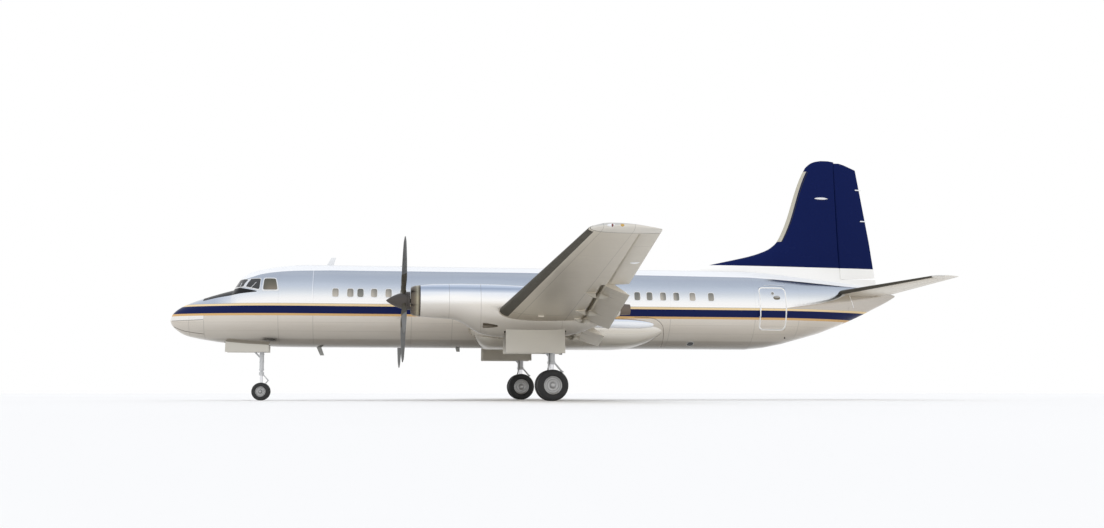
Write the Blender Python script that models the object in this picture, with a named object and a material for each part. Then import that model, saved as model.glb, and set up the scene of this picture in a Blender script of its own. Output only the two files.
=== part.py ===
"""Low-wing twin-turboprop airliner of the 1960s, standing on its landing gear.

Metres. +X runs aft, +Y to starboard and +Z up; the origin is on the ground, under the middle of
the aircraft's box. Places along the fuselage are stations, counted from the tip of the nose.
"""
import math

import bmesh
import bpy
from mathutils import Matrix, Vector

for old in list(bpy.data.objects):
    bpy.data.objects.remove(old, do_unlink=True)

# Driving dimensions
LENGTH = 26.30
SPAN = 32.00
HEIGHT = 8.98
FUSELAGE_RADIUS = 1.44
AXIS_Z = 3.28
TRACK = 8.60
WHEELBASE = 9.52
PROPELLER_DIAMETER = 4.42
TAILPLANE_SPAN = 12.00
NACELLE_Y = TRACK / 2

# Gaps: between fixed pieces that touch, around moving pieces, and at pins
FIT = 0.0003
RUNNING_GAP = 0.010
PIN_GAP = 0.0003
CHIP = 0.00001

# Facets around the fuselage and other round pieces
FUSELAGE_SIDES = 32
ROUND_SIDES = 16
TYRE_SIDES = 20
LEG_SIDES = 12
BRACE_SIDES = 6

# Fuselage joints, as stations
RADOME_END = 1.22
COCKPIT_END = 4.75
CABIN_END = 20.40
TAIL_END = 24.20
TAIL_PIECES = ((CABIN_END + FIT, TAIL_END), (TAIL_END + FIT, LENGTH))

SIDES = {"left": -1, "right": 1}

# colour, roughness, metallic
FINISHES = {
    "bare_metal": ((0.62, 0.64, 0.67), 0.22, 1.0),
    "radome_metal": ((0.62, 0.60, 0.57), 0.30, 1.0),
    "tail_metal": ((0.55, 0.55, 0.54), 0.35, 1.0),
    "wing_metal": ((0.42, 0.41, 0.39), 0.35, 1.0),
    "control_metal": ((0.45, 0.44, 0.42), 0.35, 1.0),
    "navy_paint": ((0.007, 0.013, 0.080), 0.30, 0.0),
    "cowl_metal": ((0.66, 0.66, 0.66), 0.18, 1.0),
    "intake_metal": ((0.20, 0.18, 0.15), 0.35, 1.0),
    "blade_metal": ((0.16, 0.16, 0.15), 0.40, 0.6),
    "engine_iron": ((0.10, 0.10, 0.10), 0.60, 0.8),
    "exhaust_steel": ((0.20, 0.17, 0.15), 0.45, 1.0),
    "window_glass": ((0.03, 0.03, 0.035), 0.08, 0.0),
    "gear_paint": ((0.60, 0.61, 0.62), 0.40, 0.0),
    "hub_metal": ((0.50, 0.50, 0.50), 0.40, 1.0),
    "tyre_rubber": ((0.02, 0.02, 0.02), 0.85, 0.0),
}


def finish(name):
    """The Principled material of that finish, made once."""
    material = bpy.data.materials.get(name)
    if material is None:
        colour, roughness, metallic = FINISHES[name]
        material = bpy.data.materials.new(name)
        material.use_nodes = True
        shader = material.node_tree.nodes["Principled BSDF"]
        shader.inputs["Base Color"].default_value = (*colour, 1.0)
        shader.inputs["Roughness"].default_value = roughness
        shader.inputs["Metallic"].default_value = metallic
    return material


def fx(station):
    """X in the part's frame of a station along the fuselage."""
    return station - LENGTH / 2


def above(height):
    """Z in the part's frame of a height above the fuselage axis."""
    return AXIS_Z + height


def between(rows, key, column):
    """A column of a table at a key between its rows, on straight lines."""
    for low, high in zip(rows, rows[1:]):
        if key <= high[0]:
            share = (key - low[0]) / (high[0] - low[0])
            return low[column] + (high[column] - low[column]) * share
    return rows[-1][column]


# Making and joining solids
def solid(name, points, faces):
    """A closed mesh object with its faces turned out."""
    mesh = bpy.data.meshes.new(name)
    mesh.from_pydata([tuple(point) for point in points], [], faces)
    shape = bmesh.new()
    shape.from_mesh(mesh)
    bmesh.ops.recalc_face_normals(shape, faces=shape.faces)
    shape.to_mesh(mesh)
    shape.free()
    thing = bpy.data.objects.new(name, mesh)
    bpy.context.scene.collection.objects.link(thing)
    return thing


def loft(name, rings):
    """A solid through rings of equally many points, with flat caps.

    Its sides are triangles split the same way each time, so that a piece and the slightly larger
    cutter made for its seat keep one even gap between them.
    """
    count = len(rings[0])
    points = [point for ring in rings for point in ring]
    faces = [tuple(range(count)), tuple(range(len(points) - count, len(points)))]
    for row in range(len(rings) - 1):
        for spot in range(count):
            after = (spot + 1) % count
            low, high = row * count, (row + 1) * count
            faces.append((low + spot, low + after, high + after))
            faces.append((low + spot, high + after, high + spot))
    return solid(name, points, faces)


def block(name, low, high):
    """An upright box between two corners."""
    outline = [(low[0], low[1]), (high[0], low[1]), (high[0], high[1]), (low[0], high[1])]
    return loft(name, [[(x, y, z) for x, y in outline] for z in (low[2], high[2])])


def turned(name, profile, centre, axis="X", sides=ROUND_SIDES, ring=False, turn=0.0):
    """A profile of (along, radius) turned about an axis; ring=True joins its last point to its first."""
    points = []
    rows = []
    for along, radius in profile:
        row = []
        for step in range(sides if radius > 0 else 1):
            angle = 2 * math.pi * (step + turn) / sides
            across, up = radius * math.cos(angle), radius * math.sin(angle)
            local = {"X": (along, across, up), "Y": (across, along, up), "Z": (across, up, along)}[axis]
            row.append(len(points))
            points.append(Vector(centre) + Vector(local))
        rows.append(row)
    faces = []
    pairs = list(zip(rows, rows[1:])) + ([(rows[-1], rows[0])] if ring else [])
    for near, far in pairs:
        for step in range(sides):
            after = (step + 1) % sides
            corners = [near[step % len(near)], near[after % len(near)],
                       far[after % len(far)], far[step % len(far)]]
            faces.append(tuple(dict.fromkeys(corners)))
    if not ring:
        faces += [tuple(row) for row in (rows[0], rows[-1]) if len(row) > 1]
    return solid(name, points, faces)


def rod(name, start, end, radius, sides=12, end_radius=None):
    """A round bar between two points."""
    start, end = Vector(start), Vector(end)
    along = (end - start).normalized()
    side = along.orthogonal().normalized()
    other = along.cross(side)
    rings = []
    for centre, size in ((start, radius), (end, end_radius or radius)):
        angles = [2 * math.pi * step / sides for step in range(sides)]
        rings.append([centre + side * size * math.cos(a) + other * size * math.sin(a) for a in angles])
    return loft(name, rings)


def combine(target, tool, operation):
    """Apply a Boolean of the tool to the target and drop the tool."""
    modifier = target.modifiers.new("shape", "BOOLEAN")
    modifier.operation = operation
    modifier.object = tool
    depsgraph = bpy.context.evaluated_depsgraph_get()
    shaped = bpy.data.meshes.new_from_object(target.evaluated_get(depsgraph))
    target.modifiers.clear()
    target.data = shaped
    bpy.data.objects.remove(tool, do_unlink=True)
    return target


def cut(target, tool):
    return combine(target, tool, "DIFFERENCE")


def join(target, *tools):
    for tool in tools:
        combine(target, tool, "UNION")
    return target


def keep(target, tool):
    return combine(target, tool, "INTERSECT")


def trim(target, point, outward):
    """Cut away what lies beyond a plane, and close the cut with a flat face."""
    shape = bmesh.new()
    shape.from_mesh(target.data)
    everything = shape.verts[:] + shape.edges[:] + shape.faces[:]
    sliced = bmesh.ops.bisect_plane(shape, geom=everything, plane_co=point, plane_no=outward,
                                    clear_outer=True)
    edges = [item for item in sliced["geom_cut"] if isinstance(item, bmesh.types.BMEdge)]
    bmesh.ops.edgenet_fill(shape, edges=edges)
    bmesh.ops.recalc_face_normals(shape, faces=shape.faces)
    shape.to_mesh(target.data)
    shape.free()
    return target


def node(thing, name, look, pivot=None):
    """Name a finished solid, clean its cuts, and give it its material and its pivot."""
    shape = bmesh.new()
    shape.from_mesh(thing.data)
    bmesh.ops.remove_doubles(shape, verts=shape.verts, dist=CHIP)
    bmesh.ops.dissolve_degenerate(shape, edges=shape.edges, dist=CHIP)
    shape.to_mesh(thing.data)
    shape.free()
    thing.name = name
    thing.data.name = name
    thing.data.materials.clear()
    thing.data.materials.append(finish(look))
    if pivot is not None:
        thing.data.transform(Matrix.Translation(-Vector(pivot)))
        thing.location = pivot
    thing.data.shade_smooth()
    thing.data.set_sharp_from_angle(angle=math.radians(30))
    return thing


# Fuselage
# station, top, bottom and widest height over the axis, half width
FUSELAGE = [
    (0.00, -0.50, -0.58, -0.540, 0.04),
    (0.06, -0.36, -0.72, -0.540, 0.18),
    (0.22, -0.19, -0.88, -0.535, 0.35),
    (0.50, -0.02, -1.05, -0.525, 0.53),
    (0.86, 0.13, -1.15, -0.480, 0.70),
    (1.22, 0.255, -1.215, -0.430, 0.84),
    (1.72, 0.41, -1.29, -0.360, 1.00),
    (2.12, 0.52, -1.33, -0.300, 1.11),
    (2.37, 0.925, -1.35, -0.250, 1.17),
    (2.58, 1.10, -1.37, -0.200, 1.22),
    (3.01, 1.24, -1.39, -0.120, 1.30),
    (3.66, 1.36, -1.43, -0.050, 1.39),
    (4.60, 1.44, -1.44, 0.000, 1.44),
    (20.38, 1.44, -1.44, 0.000, 1.44),
    (21.10, 1.40, -1.37, 0.015, 1.42),
    (21.80, 1.33, -1.23, 0.050, 1.36),
    (22.50, 1.25, -1.04, 0.105, 1.24),
    (23.25, 1.17, -0.83, 0.170, 1.03),
    (23.97, 1.10, -0.56, 0.270, 0.80),
    (24.69, 1.01, -0.26, 0.375, 0.57),
    (25.40, 0.90, 0.08, 0.490, 0.35),
    (26.00, 0.72, 0.38, 0.550, 0.14),
    (26.30, 0.62, 0.56, 0.590, 0.03),
]


def fuselage_ring(station, grow=0.0):
    """The fuselage's outline at a station: two half ellipses that meet at the widest height."""
    top, bottom, widest, half_width = (between(FUSELAGE, station, column) for column in (1, 2, 3, 4))
    ring = []
    for step in range(FUSELAGE_SIDES):
        angle = 2 * math.pi * step / FUSELAGE_SIDES
        reach = (top - widest if math.sin(angle) >= 0 else widest - bottom) + grow
        across = (half_width + grow) * math.cos(angle)
        ring.append((fx(station), across, above(widest + reach * math.sin(angle))))
    return ring


def fuselage_part(name, start, end, grow=0.0):
    """The fuselage between two stations, which may lie past its ends only by a cutter's margin."""
    inner = [row[0] for row in FUSELAGE if start + 0.02 < row[0] < end - 0.02]
    return loft(name, [fuselage_ring(station, grow) for station in [start, *inner, end]])


def fuselage_shell(name, start, end, outer, inner):
    """The layer of the fuselage between two depths under its skin."""
    return cut(fuselage_part(name, start, end, -outer), fuselage_part("core", start - 0.01, end + 0.01, -inner))


# Cockpit glazing: the band's outline from the side, as station and height over the axis
GLAZING_OUTLINE = [(1.98, 0.530), (2.45, 0.515), (3.06, 0.445), (3.71, 0.410), (3.61, 0.880),
                   (3.20, 0.885), (2.70, 0.870), (2.40, 0.890), (2.10, 0.890)]
GLAZING_DEPTH = 0.030


def glazing_limits(grow):
    """The band's outline carried right across the nose."""
    middle_station = sum(station for station, _ in GLAZING_OUTLINE) / len(GLAZING_OUTLINE)
    middle_height = sum(height for _, height in GLAZING_OUTLINE) / len(GLAZING_OUTLINE)
    rings = []
    for y in (-2.0, 2.0):
        rings.append([(fx(station) + math.copysign(grow, station - middle_station), y,
                       above(height) + math.copysign(grow, height - middle_height))
                      for station, height in GLAZING_OUTLINE])
    return loft("limits", rings)


# Nose wheel well and main gear places
NOSE_WHEEL_STATION = 3.10
MAIN_WHEEL_STATION = NOSE_WHEEL_STATION + WHEELBASE
NOSE_WELL_START, NOSE_WELL_END = 1.84, 3.40
NOSE_WELL_HALF = 0.25
NOSE_WELL_TOP = above(-0.78)

# Rear passenger door
DOOR_START, DOOR_END = 20.60, 21.56
DOOR_LOW, DOOR_HIGH = -0.75, 0.73
DOOR_PLATE = 0.012
DOOR_BODY = 0.060
DOOR_STEP = 0.030
DOOR_ROOM_Y = -0.55
ROOM_START, ROOM_END = 20.52, 23.60
ROOM_WALL = 0.10
DOOR_PIN_Y = -(FUSELAGE_RADIUS + 0.012)
DOOR_PIN_RADIUS = 0.014
DOOR_PIN_HALF = 0.10
DOOR_PIN_X = fx(DOOR_START) - 0.012


def door_limits(name, grow, aft_step=0.0, inner=-0.5):
    low = (fx(DOOR_START) - grow + aft_step, -2.0, above(DOOR_LOW) - grow + aft_step)
    high = (fx(DOOR_END) + grow - aft_step, inner, above(DOOR_HIGH) + grow - aft_step)
    return block(name, low, high)


def radome():
    node(fuselage_part("radome", 0.0, RADOME_END), "radome", "radome_metal")


def cockpit():
    body = fuselage_part("cockpit", RADOME_END + FIT, COCKPIT_END)
    cut(body, keep(fuselage_shell("depth", 1.8, 3.8, -0.05, GLAZING_DEPTH + FIT), glazing_limits(FIT)))
    low = (fx(NOSE_WELL_START), -NOSE_WELL_HALF, above(-2.0))
    high = (fx(NOSE_WELL_END), NOSE_WELL_HALF, NOSE_WELL_TOP)
    cut(body, block("well", low, high))
    node(body, "cockpit_section", "bare_metal")


def windscreen():
    glass = keep(fuselage_shell("glass", 1.8, 3.8, 0.0, GLAZING_DEPTH), glazing_limits(0.0))
    node(glass, "windscreen", "window_glass")


def cabin():
    body = fuselage_part("cabin", COCKPIT_END + FIT, CABIN_END)
    cut(body, fairing_loft(FIT))
    node(body, "cabin_section", "bare_metal")


def tail():
    body = fuselage_part("tail", CABIN_END + FIT, TAIL_END)
    room = fuselage_part("room", ROOM_START, ROOM_END, -ROOM_WALL)
    floor = above(DOOR_LOW) - RUNNING_GAP
    cut(body, keep(room, block("over_floor", (fx(20.0), -2.0, floor), (fx(24.0), 2.0, floor + 3.0))))
    cut(body, door_limits("doorway", RUNNING_GAP, inner=DOOR_ROOM_Y))
    lugs = []
    for low, high in ((-3 * DOOR_PIN_HALF, -DOOR_PIN_HALF - PIN_GAP), (DOOR_PIN_HALF + PIN_GAP, 3 * DOOR_PIN_HALF)):
        low_end = (DOOR_PIN_X, DOOR_PIN_Y, above(low))
        lug = rod("lug", low_end, (DOOR_PIN_X, DOOR_PIN_Y, above(high)), DOOR_PIN_RADIUS)
        foot_low = (DOOR_PIN_X - 0.060, DOOR_PIN_Y - DOOR_PIN_RADIUS / 2, above(low))
        foot = block("foot", foot_low, (DOOR_PIN_X, -FUSELAGE_RADIUS + 0.080, above(high)))
        lugs.append(join(lug, foot))
    join(body, *lugs)
    node(body, "tail_section", "bare_metal")


def rear_door():
    plate = keep(fuselage_shell("plate", DOOR_START - 0.1, DOOR_END + 0.1, 0.0, DOOR_PLATE),
                 door_limits("outline", 0.0))
    inner = keep(fuselage_shell("inner", DOOR_START - 0.1, DOOR_END + 0.1, DOOR_PLATE / 2, DOOR_BODY),
                 door_limits("outline", 0.0, aft_step=DOOR_STEP))
    pin = rod("pin", (DOOR_PIN_X, DOOR_PIN_Y, above(-DOOR_PIN_HALF)),
              (DOOR_PIN_X, DOOR_PIN_Y, above(DOOR_PIN_HALF)), DOOR_PIN_RADIUS)
    strap = block("strap", (DOOR_PIN_X, DOOR_PIN_Y - DOOR_PIN_RADIUS / 2, above(-DOOR_PIN_HALF)),
                  (DOOR_PIN_X + 0.07, -FUSELAGE_RADIUS - PIN_GAP, above(DOOR_PIN_HALF)))
    foot = block("foot", (DOOR_PIN_X + 0.03, DOOR_PIN_Y, above(-DOOR_PIN_HALF)),
                 (DOOR_PIN_X + 0.07, -FUSELAGE_RADIUS + DOOR_BODY / 2, above(DOOR_PIN_HALF)))
    join(plate, inner, join(strap, foot), pin)
    node(plate, "rear_door", "bare_metal", (DOOR_PIN_X, DOOR_PIN_Y, above(0.0)))


def tail_cone():
    node(fuselage_part("cone", TAIL_END + FIT, LENGTH), "tail_cone", "tail_metal")


# Belly fairing round the wing's centre section
# station, inset of the whole outline under the full one
FAIRING = [(10.15, 0.30), (10.45, 0.12), (10.95, 0.0), (15.60, 0.0), (16.40, 0.08), (17.20, 0.30)]
# distance from the centre line, height over the axis
FAIRING_SIDE = [(1.290, -0.56), (1.405, -0.72), (1.435, -0.95), (1.400, -1.15), (1.270, -1.30),
                (0.980, -1.41), (0.500, -1.465)]


def fairing_loft(grow=0.0):
    rings = []
    for station, inset in FAIRING:
        half = [(max(y - inset, 0.1) + grow, z + inset * (-0.6 - z) / 0.5 - (grow if z < -1.0 else 0.0))
                for y, z in FAIRING_SIDE[1:]]
        half = [(FAIRING_SIDE[0][0] - inset + grow, FAIRING_SIDE[0][1] + grow), *half]
        ring = [(fx(station), -y, above(z)) for y, z in half]
        ring += [(fx(station), y, above(z)) for y, z in reversed(half)]
        rings.append(ring)
    rings[0] = [(x - grow, y, z) for x, y, z in rings[0]]
    rings[-1] = [(x + grow, y, z) for x, y, z in rings[-1]]
    return loft("fairing", rings)


def belly_fairing():
    node(fairing_loft(), "belly_fairing", "tail_metal")


# Wing
WING_LE_STATION = 10.40
WING_TIP_LE_STATION = 11.90
WING_ROOT_CHORD = 4.35
WING_TIP_CHORD = 1.60
WING_Z = 2.24
DIHEDRAL = math.radians(6.32)
INCIDENCE = math.radians(3.0)
HALF_SPAN = SPAN / 2
WING_THICKNESS = (0.18, 0.12)
AIRFOIL_STEPS = 11
EDGE_HALF = 0.004

# distance from the centre line, leading edge brought forward, chord lost at the back, thickness share
WING_SECTIONS = [
    (0.90, 0.36, 0.0, 1.0),
    (1.50, 0.33, 0.0, 1.0),
    (2.20, 0.12, 0.0, 1.0),
    (2.90, 0.0, 0.0, 1.0),
    (4.30, 0.0, 0.0, 1.0),
    (8.00, 0.0, 0.0, 1.0),
    (12.00, 0.0, 0.0, 1.0),
    (15.60, 0.0, 0.0, 1.0),
    (15.84, -0.12, 0.0, 0.85),
    (15.96, -0.34, 0.01, 0.55),
    (16.00, -0.52, 0.04, 0.25),
]


def half_thickness(share, ratio):
    """Half the thickness of a four-digit aerofoil, in chords."""
    curve = (0.2969 * math.sqrt(share) - 0.1260 * share - 0.3516 * share ** 2
             + 0.2843 * share ** 3 - 0.1015 * share ** 4)
    return 5 * ratio * curve


def camber(share, height=0.018, place=0.4):
    if share < place:
        return height / place ** 2 * (2 * place * share - share ** 2)
    return height / (1 - place) ** 2 * ((1 - 2 * place) + 2 * place * share - share ** 2)


def wing_line(y):
    """Leading edge, chord, height of the leading edge and thickness ratio at a distance out."""
    share = y / HALF_SPAN
    lead = WING_LE_STATION + (WING_TIP_LE_STATION - WING_LE_STATION) * share
    chord = WING_ROOT_CHORD + (WING_TIP_CHORD - WING_ROOT_CHORD) * share
    height = WING_Z + y * math.tan(DIHEDRAL) + chord / 4 * math.tan(INCIDENCE)
    return lead, chord, height, WING_THICKNESS[0] + (WING_THICKNESS[1] - WING_THICKNESS[0]) * share


def wing_z(y, station, upper):
    """Height of the plain wing's skin, of its upper side (1), lower side (-1) or middle (0)."""
    lead, chord, height, ratio = wing_line(y)
    share = min(max((station - lead) / chord, 0.0), 1.0)
    middle = height - (station - lead) * math.tan(INCIDENCE) + chord * camber(share)
    return middle + upper * (chord * half_thickness(share, ratio) + EDGE_HALF * share)


def wing_trailing(y):
    lead, chord, _, _ = wing_line(y)
    return lead + chord


def wing_ring(side, y, forward, lost, thin, grow):
    lead, chord, height, ratio = wing_line(y)
    front = lead - forward
    own = chord + forward - lost
    ring = []
    order = [(step, 1) for step in range(AIRFOIL_STEPS, 0, -1)] + [(step, -1) for step in range(AIRFOIL_STEPS + 1)]
    for step, sign in order:
        share = 1 - math.cos(math.pi / 2 * step / AIRFOIL_STEPS)
        station = front + own * share
        middle = height - (station - lead) * math.tan(INCIDENCE) + chord * camber(share)
        thick = chord * half_thickness(share, ratio) * thin + EDGE_HALF * share
        x = fx(front + own / 2) + own * (share - 0.5) * (1 + 2 * grow / own)
        ring.append((x, side * y, middle + sign * (thick + (grow if step else 0.0))))
    return ring


def wing_loft(name, side, grow=0.0):
    return loft(name, [wing_ring(side, *row, grow) for row in WING_SECTIONS])


# Hinged surfaces: an axis between two points, the surface's own profile, and the room cut for it
def along_axis(ends, y):
    """The point of a line between two ends at a distance from the centre line."""
    low, high = ends
    return low + (high - low) * ((y - low.y) / (high.y - low.y))


def rounded_profile(hinge, radius, trailing, bulge=0.5):
    """A nose arc round the hinge, running out to a thin trailing edge, as (x, z)."""
    hx, hz = hinge
    tx, tz = trailing
    nose = [(hx - radius * math.sin(a), hz + radius * math.cos(a))
            for a in (math.pi * step / 6 for step in range(7))]
    half = radius * bulge + EDGE_HALF * (1 - bulge) + 0.1 * radius
    mid = ((hx + tx) / 2, (hz + tz) / 2)
    return nose + [(mid[0], mid[1] - half), (tx, tz - EDGE_HALF), (tx, tz + EDGE_HALF), (mid[0], mid[1] + half)]


AILERON_START, AILERON_END = 10.20, 15.58
AILERON_CHORDS = (0.63, 0.50)
AILERON_PIN = 0.014


def aileron_line(y):
    """The wing's rear face, the hinge and the nose radius of the aileron at a distance out."""
    share = (y - AILERON_START) / (AILERON_END - AILERON_START)
    chord = AILERON_CHORDS[0] + (AILERON_CHORDS[1] - AILERON_CHORDS[0]) * share
    face = wing_trailing(y) - chord
    radius = (wing_z(y, face + 0.08, 1) - wing_z(y, face + 0.08, -1)) / 2 - 0.002
    return face, face + RUNNING_GAP + radius, radius


def aileron_axis(side):
    ends = []
    for y in (AILERON_START, AILERON_END):
        _, hinge, _ = aileron_line(y)
        ends.append(Vector((fx(hinge), side * y, wing_z(y, hinge, 0))))
    return ends


def aileron_room(side):
    axis = aileron_axis(side)
    rings = []
    for y in (AILERON_START - 0.4, AILERON_END + 0.4):
        face, _, _ = aileron_line(y)
        middle = wing_z(y, face, 0)
        corners = [(fx(face), middle - 0.4), (fx(face) + 1.5, middle - 0.4),
                   (fx(face) + 1.5, middle + 0.4), (fx(face), middle + 0.4)]
        rings.append([(x, side * y, z) for x, z in corners])
    room = loft("room", rings)
    along = (axis[1] - axis[0]).normalized()
    trim(room, axis[0], -along)
    return trim(room, axis[1], along)


def aileron(label, side):
    axis = aileron_axis(side)
    along = (axis[1] - axis[0]).normalized()
    rings = []
    for y in (AILERON_START - 0.3, (AILERON_START + AILERON_END) / 2, AILERON_END + 0.3):
        _, hinge, radius = aileron_line(y)
        spot = along_axis(axis, side * y)
        trailing = (fx(wing_trailing(y)), wing_z(y, wing_trailing(y), 0))
        rings.append([(x, side * y, z) for x, z in rounded_profile((spot.x, spot.z), radius, trailing)])
    body = loft("aileron", rings)
    trim(body, axis[0] + along * RUNNING_GAP, -along)
    trim(body, axis[1] - along * RUNNING_GAP, along)
    join(body, rod("pin", axis[0] + along * PIN_GAP, axis[1] - along * PIN_GAP, AILERON_PIN))
    node(body, f"aileron_{label}", "control_metal", axis[0])


FLAP_DEPLOYED = math.radians(24.0)
FLAP_CHORD_ROOT, FLAP_CHORD_TIP = 0.98, 0.80
FLAP_ROOT_Y, FLAP_TIP_Y = 1.62, 10.10
FLAP_PIVOT_AFT = 0.030
FLAP_PIVOT_DROP = 0.130
SHROUD_LENGTH = 0.30
SHROUD_THICKNESS = 0.025
FLAPS = {"inner": (1.62, 3.66), "outer": (4.94, 10.08)}


def flap_line(y):
    """The wing's rear spar face and its trailing edge at a distance out."""
    share = (y - FLAP_ROOT_Y) / (FLAP_TIP_Y - FLAP_ROOT_Y)
    chord = FLAP_CHORD_ROOT + (FLAP_CHORD_TIP - FLAP_CHORD_ROOT) * share
    return wing_trailing(y) - chord, wing_trailing(y)


def flap_pivot(side, y):
    """The hinge point under the flap's nose, inside its canoe."""
    spar, _ = flap_line(y)
    return Vector((fx(spar + FLAP_PIVOT_AFT), side * y, wing_z(y, spar, -1) - FLAP_PIVOT_DROP))


def flap_axis(side, span):
    return [flap_pivot(side, y) for y in span]


def flap_profile(y):
    """The retracted flap under its shroud, as (station, height)."""
    spar, trailing = flap_line(y)
    nose = spar + 0.035
    roof = SHROUD_THICKNESS + RUNNING_GAP + 0.006
    upper = [(station, wing_z(y, station, 1) - roof * (trailing - station) / (trailing - nose))
             for station in (nose + 0.10, nose + 0.30, nose + 0.55)]
    lower = [(station, wing_z(y, station, -1)) for station in (nose + 0.55, nose + 0.30, nose + 0.10)]
    top, bottom = upper[0][1], lower[-1][1]
    middle, reach = (top + bottom) / 2, (top - bottom) / 2
    arc = [(nose + 0.10 - 0.10 * math.sin(a), middle - reach * math.cos(a))
           for a in (math.pi * step / 6 for step in range(1, 6))]
    edge = wing_z(y, trailing, 0)
    return upper + [(trailing, edge + EDGE_HALF), (trailing, edge - EDGE_HALF)] + lower + arc


def flap_room(side, span):
    rings = []
    for y in (span[0] - 0.4, span[1] + 0.4):
        spar, _ = flap_line(y)
        lip = spar + SHROUD_LENGTH
        roof = wing_z(y, spar, 1) - SHROUD_THICKNESS
        lip_roof = wing_z(y, lip, 1) - SHROUD_THICKNESS
        corners = [(spar, roof), (lip, lip_roof), (lip, lip_roof + 0.6), (spar + 2.0, lip_roof + 0.6),
                   (spar + 2.0, roof - 1.2), (spar, roof - 1.2)]
        rings.append([(fx(station), side * y, z) for station, z in corners])
    room = loft("room", rings)
    axis = flap_axis(side, span)
    along = (axis[1] - axis[0]).normalized()
    trim(room, axis[0], -along)
    return trim(room, axis[1], along)


# Flap brackets: distance out and length scale for each flap
BRACKETS = {"inner": ((2.05, 0.75), (2.95, 0.75)), "outer": ((5.20, 0.75), (6.50, 1.0), (9.10, 1.0))}
BRACKET_TOP = 0.17
LUG_RADIUS = 0.035
LUG_WIDTH = 0.030
# distance aft of the hinge, half width, height of the bottom over the hinge
CANOE_FRONT = [(-0.36, 0.006, 0.122), (-0.24, 0.036, 0.040), (-0.08, 0.048, -0.030), (-0.046, 0.048, -0.034)]
CANOE_BACK = [(0.046, 0.048, -0.034), (0.12, 0.042, -0.014), (0.30, 0.006, 0.110)]


def bracket_frame(side, span, y):
    """The point of the hinge line at a distance out, with the directions aft, up and along it."""
    axis = flap_axis(side, span)
    along = (axis[1] - axis[0]).normalized()
    aft = (Vector((1, 0, 0)) - along * along.x).normalized()
    up = (Vector((0, 0, 1)) - along * along.z - aft * aft.z).normalized()
    return along_axis(axis, side * y), aft, up, along


def canoe(frame, rows, scale):
    """Half of a slim fairing under a bracket, open to the wing or the flap above it."""
    centre, aft, up, along = frame
    rings = []
    for back, half, bottom in rows:
        far = back if abs(back) < 0.05 else back * scale
        middle = bottom + 0.4 * min(BRACKET_TOP - bottom, 0.1)
        outline = [(-half, BRACKET_TOP), (-half, middle), (-half / 2, bottom), (half / 2, bottom),
                   (half, middle), (half, BRACKET_TOP)]
        rings.append([centre + aft * far + along * across + up * height for across, height in outline])
    return loft("canoe", rings)


def bracket_plate(frame, outline, low, high):
    """A flat plate square to the hinge line, between two distances along it."""
    centre, aft, up, along = frame
    return loft("plate", [[centre + aft * back + up * height + along * across for back, height in outline]
                          for across in (low, high)])


def lug_outline(start, reach):
    """A round eye about the hinge with a stem from two corners."""
    arc = [math.radians(start + 30 * step) for step in range(7)]
    return [(LUG_RADIUS * math.cos(a), LUG_RADIUS * math.sin(a)) for a in arc] + reach


def wing_brackets(side, span, places):
    """The fixed halves: a canoe's front and a lug beside the flap's arm."""
    parts = []
    for y, scale in places:
        frame = bracket_frame(side, span, y)
        stem = lug_outline(-90, [(-0.060, LUG_RADIUS), (-0.060, -LUG_RADIUS * 0.9)])
        lug = bracket_plate(frame, stem, -LUG_WIDTH, -PIN_GAP / 2)
        parts.append(join(canoe(frame, CANOE_FRONT, scale), lug))
    return parts


def flap_brackets(side, span, places):
    """The moving halves: a canoe's back and an arm with an eye beside the lug."""
    parts = []
    for y, scale in places:
        frame = bracket_frame(side, span, y)
        stem = lug_outline(150, [(0.060, -LUG_RADIUS * 0.4), (0.120, 0.160), (0.030, 0.160)])
        arm = bracket_plate(frame, stem, PIN_GAP / 2, LUG_WIDTH)
        parts.append(join(canoe(frame, CANOE_BACK, scale), arm))
    return parts


def flap(label, side, place, span):
    axis = flap_axis(side, span)
    along = (axis[1] - axis[0]).normalized()
    rings = []
    for y in (span[0] - 0.3, (span[0] + span[1]) / 2, span[1] + 0.3):
        rings.append([(fx(station), side * y, z) for station, z in flap_profile(y)])
    body = loft("flap", rings)
    trim(body, axis[0] + along * RUNNING_GAP, -along)
    trim(body, axis[1] - along * RUNNING_GAP, along)
    join(body, *flap_brackets(side, span, BRACKETS[place]))
    swing = Matrix.Rotation(side * FLAP_DEPLOYED, 4, along)
    body.data.transform(Matrix.Translation(axis[0]) @ swing @ Matrix.Translation(-axis[0]))
    node(body, f"flap_{place}_{label}", "control_metal", axis[0])


JACK_PAD_STATION, JACK_PAD_Y = 12.10, 5.60
JACK_PAD_HALF = 0.09
JACK_PAD_DROP = 0.03


def jack_pad(side):
    """A flat pad under the wing where a jack stands."""
    low = wing_z(JACK_PAD_Y, JACK_PAD_STATION, -1) - JACK_PAD_DROP
    corner = (fx(JACK_PAD_STATION) - JACK_PAD_HALF, side * JACK_PAD_Y - JACK_PAD_HALF, low)
    return block("pad", corner, (corner[0] + 2 * JACK_PAD_HALF, corner[1] + 2 * JACK_PAD_HALF, low + 0.15))


def wing(label, side):
    body = join(wing_loft("wing", side), jack_pad(side))
    cut(body, fairing_loft(FIT))
    cut(body, fuselage_part("skin", 8.0, 18.0, FIT))
    cut(body, aileron_room(side))
    for place, span in FLAPS.items():
        cut(body, flap_room(side, span))
        join(body, *wing_brackets(side, span, BRACKETS[place]))
    node(body, f"wing_{label}", "wing_metal")


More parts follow.
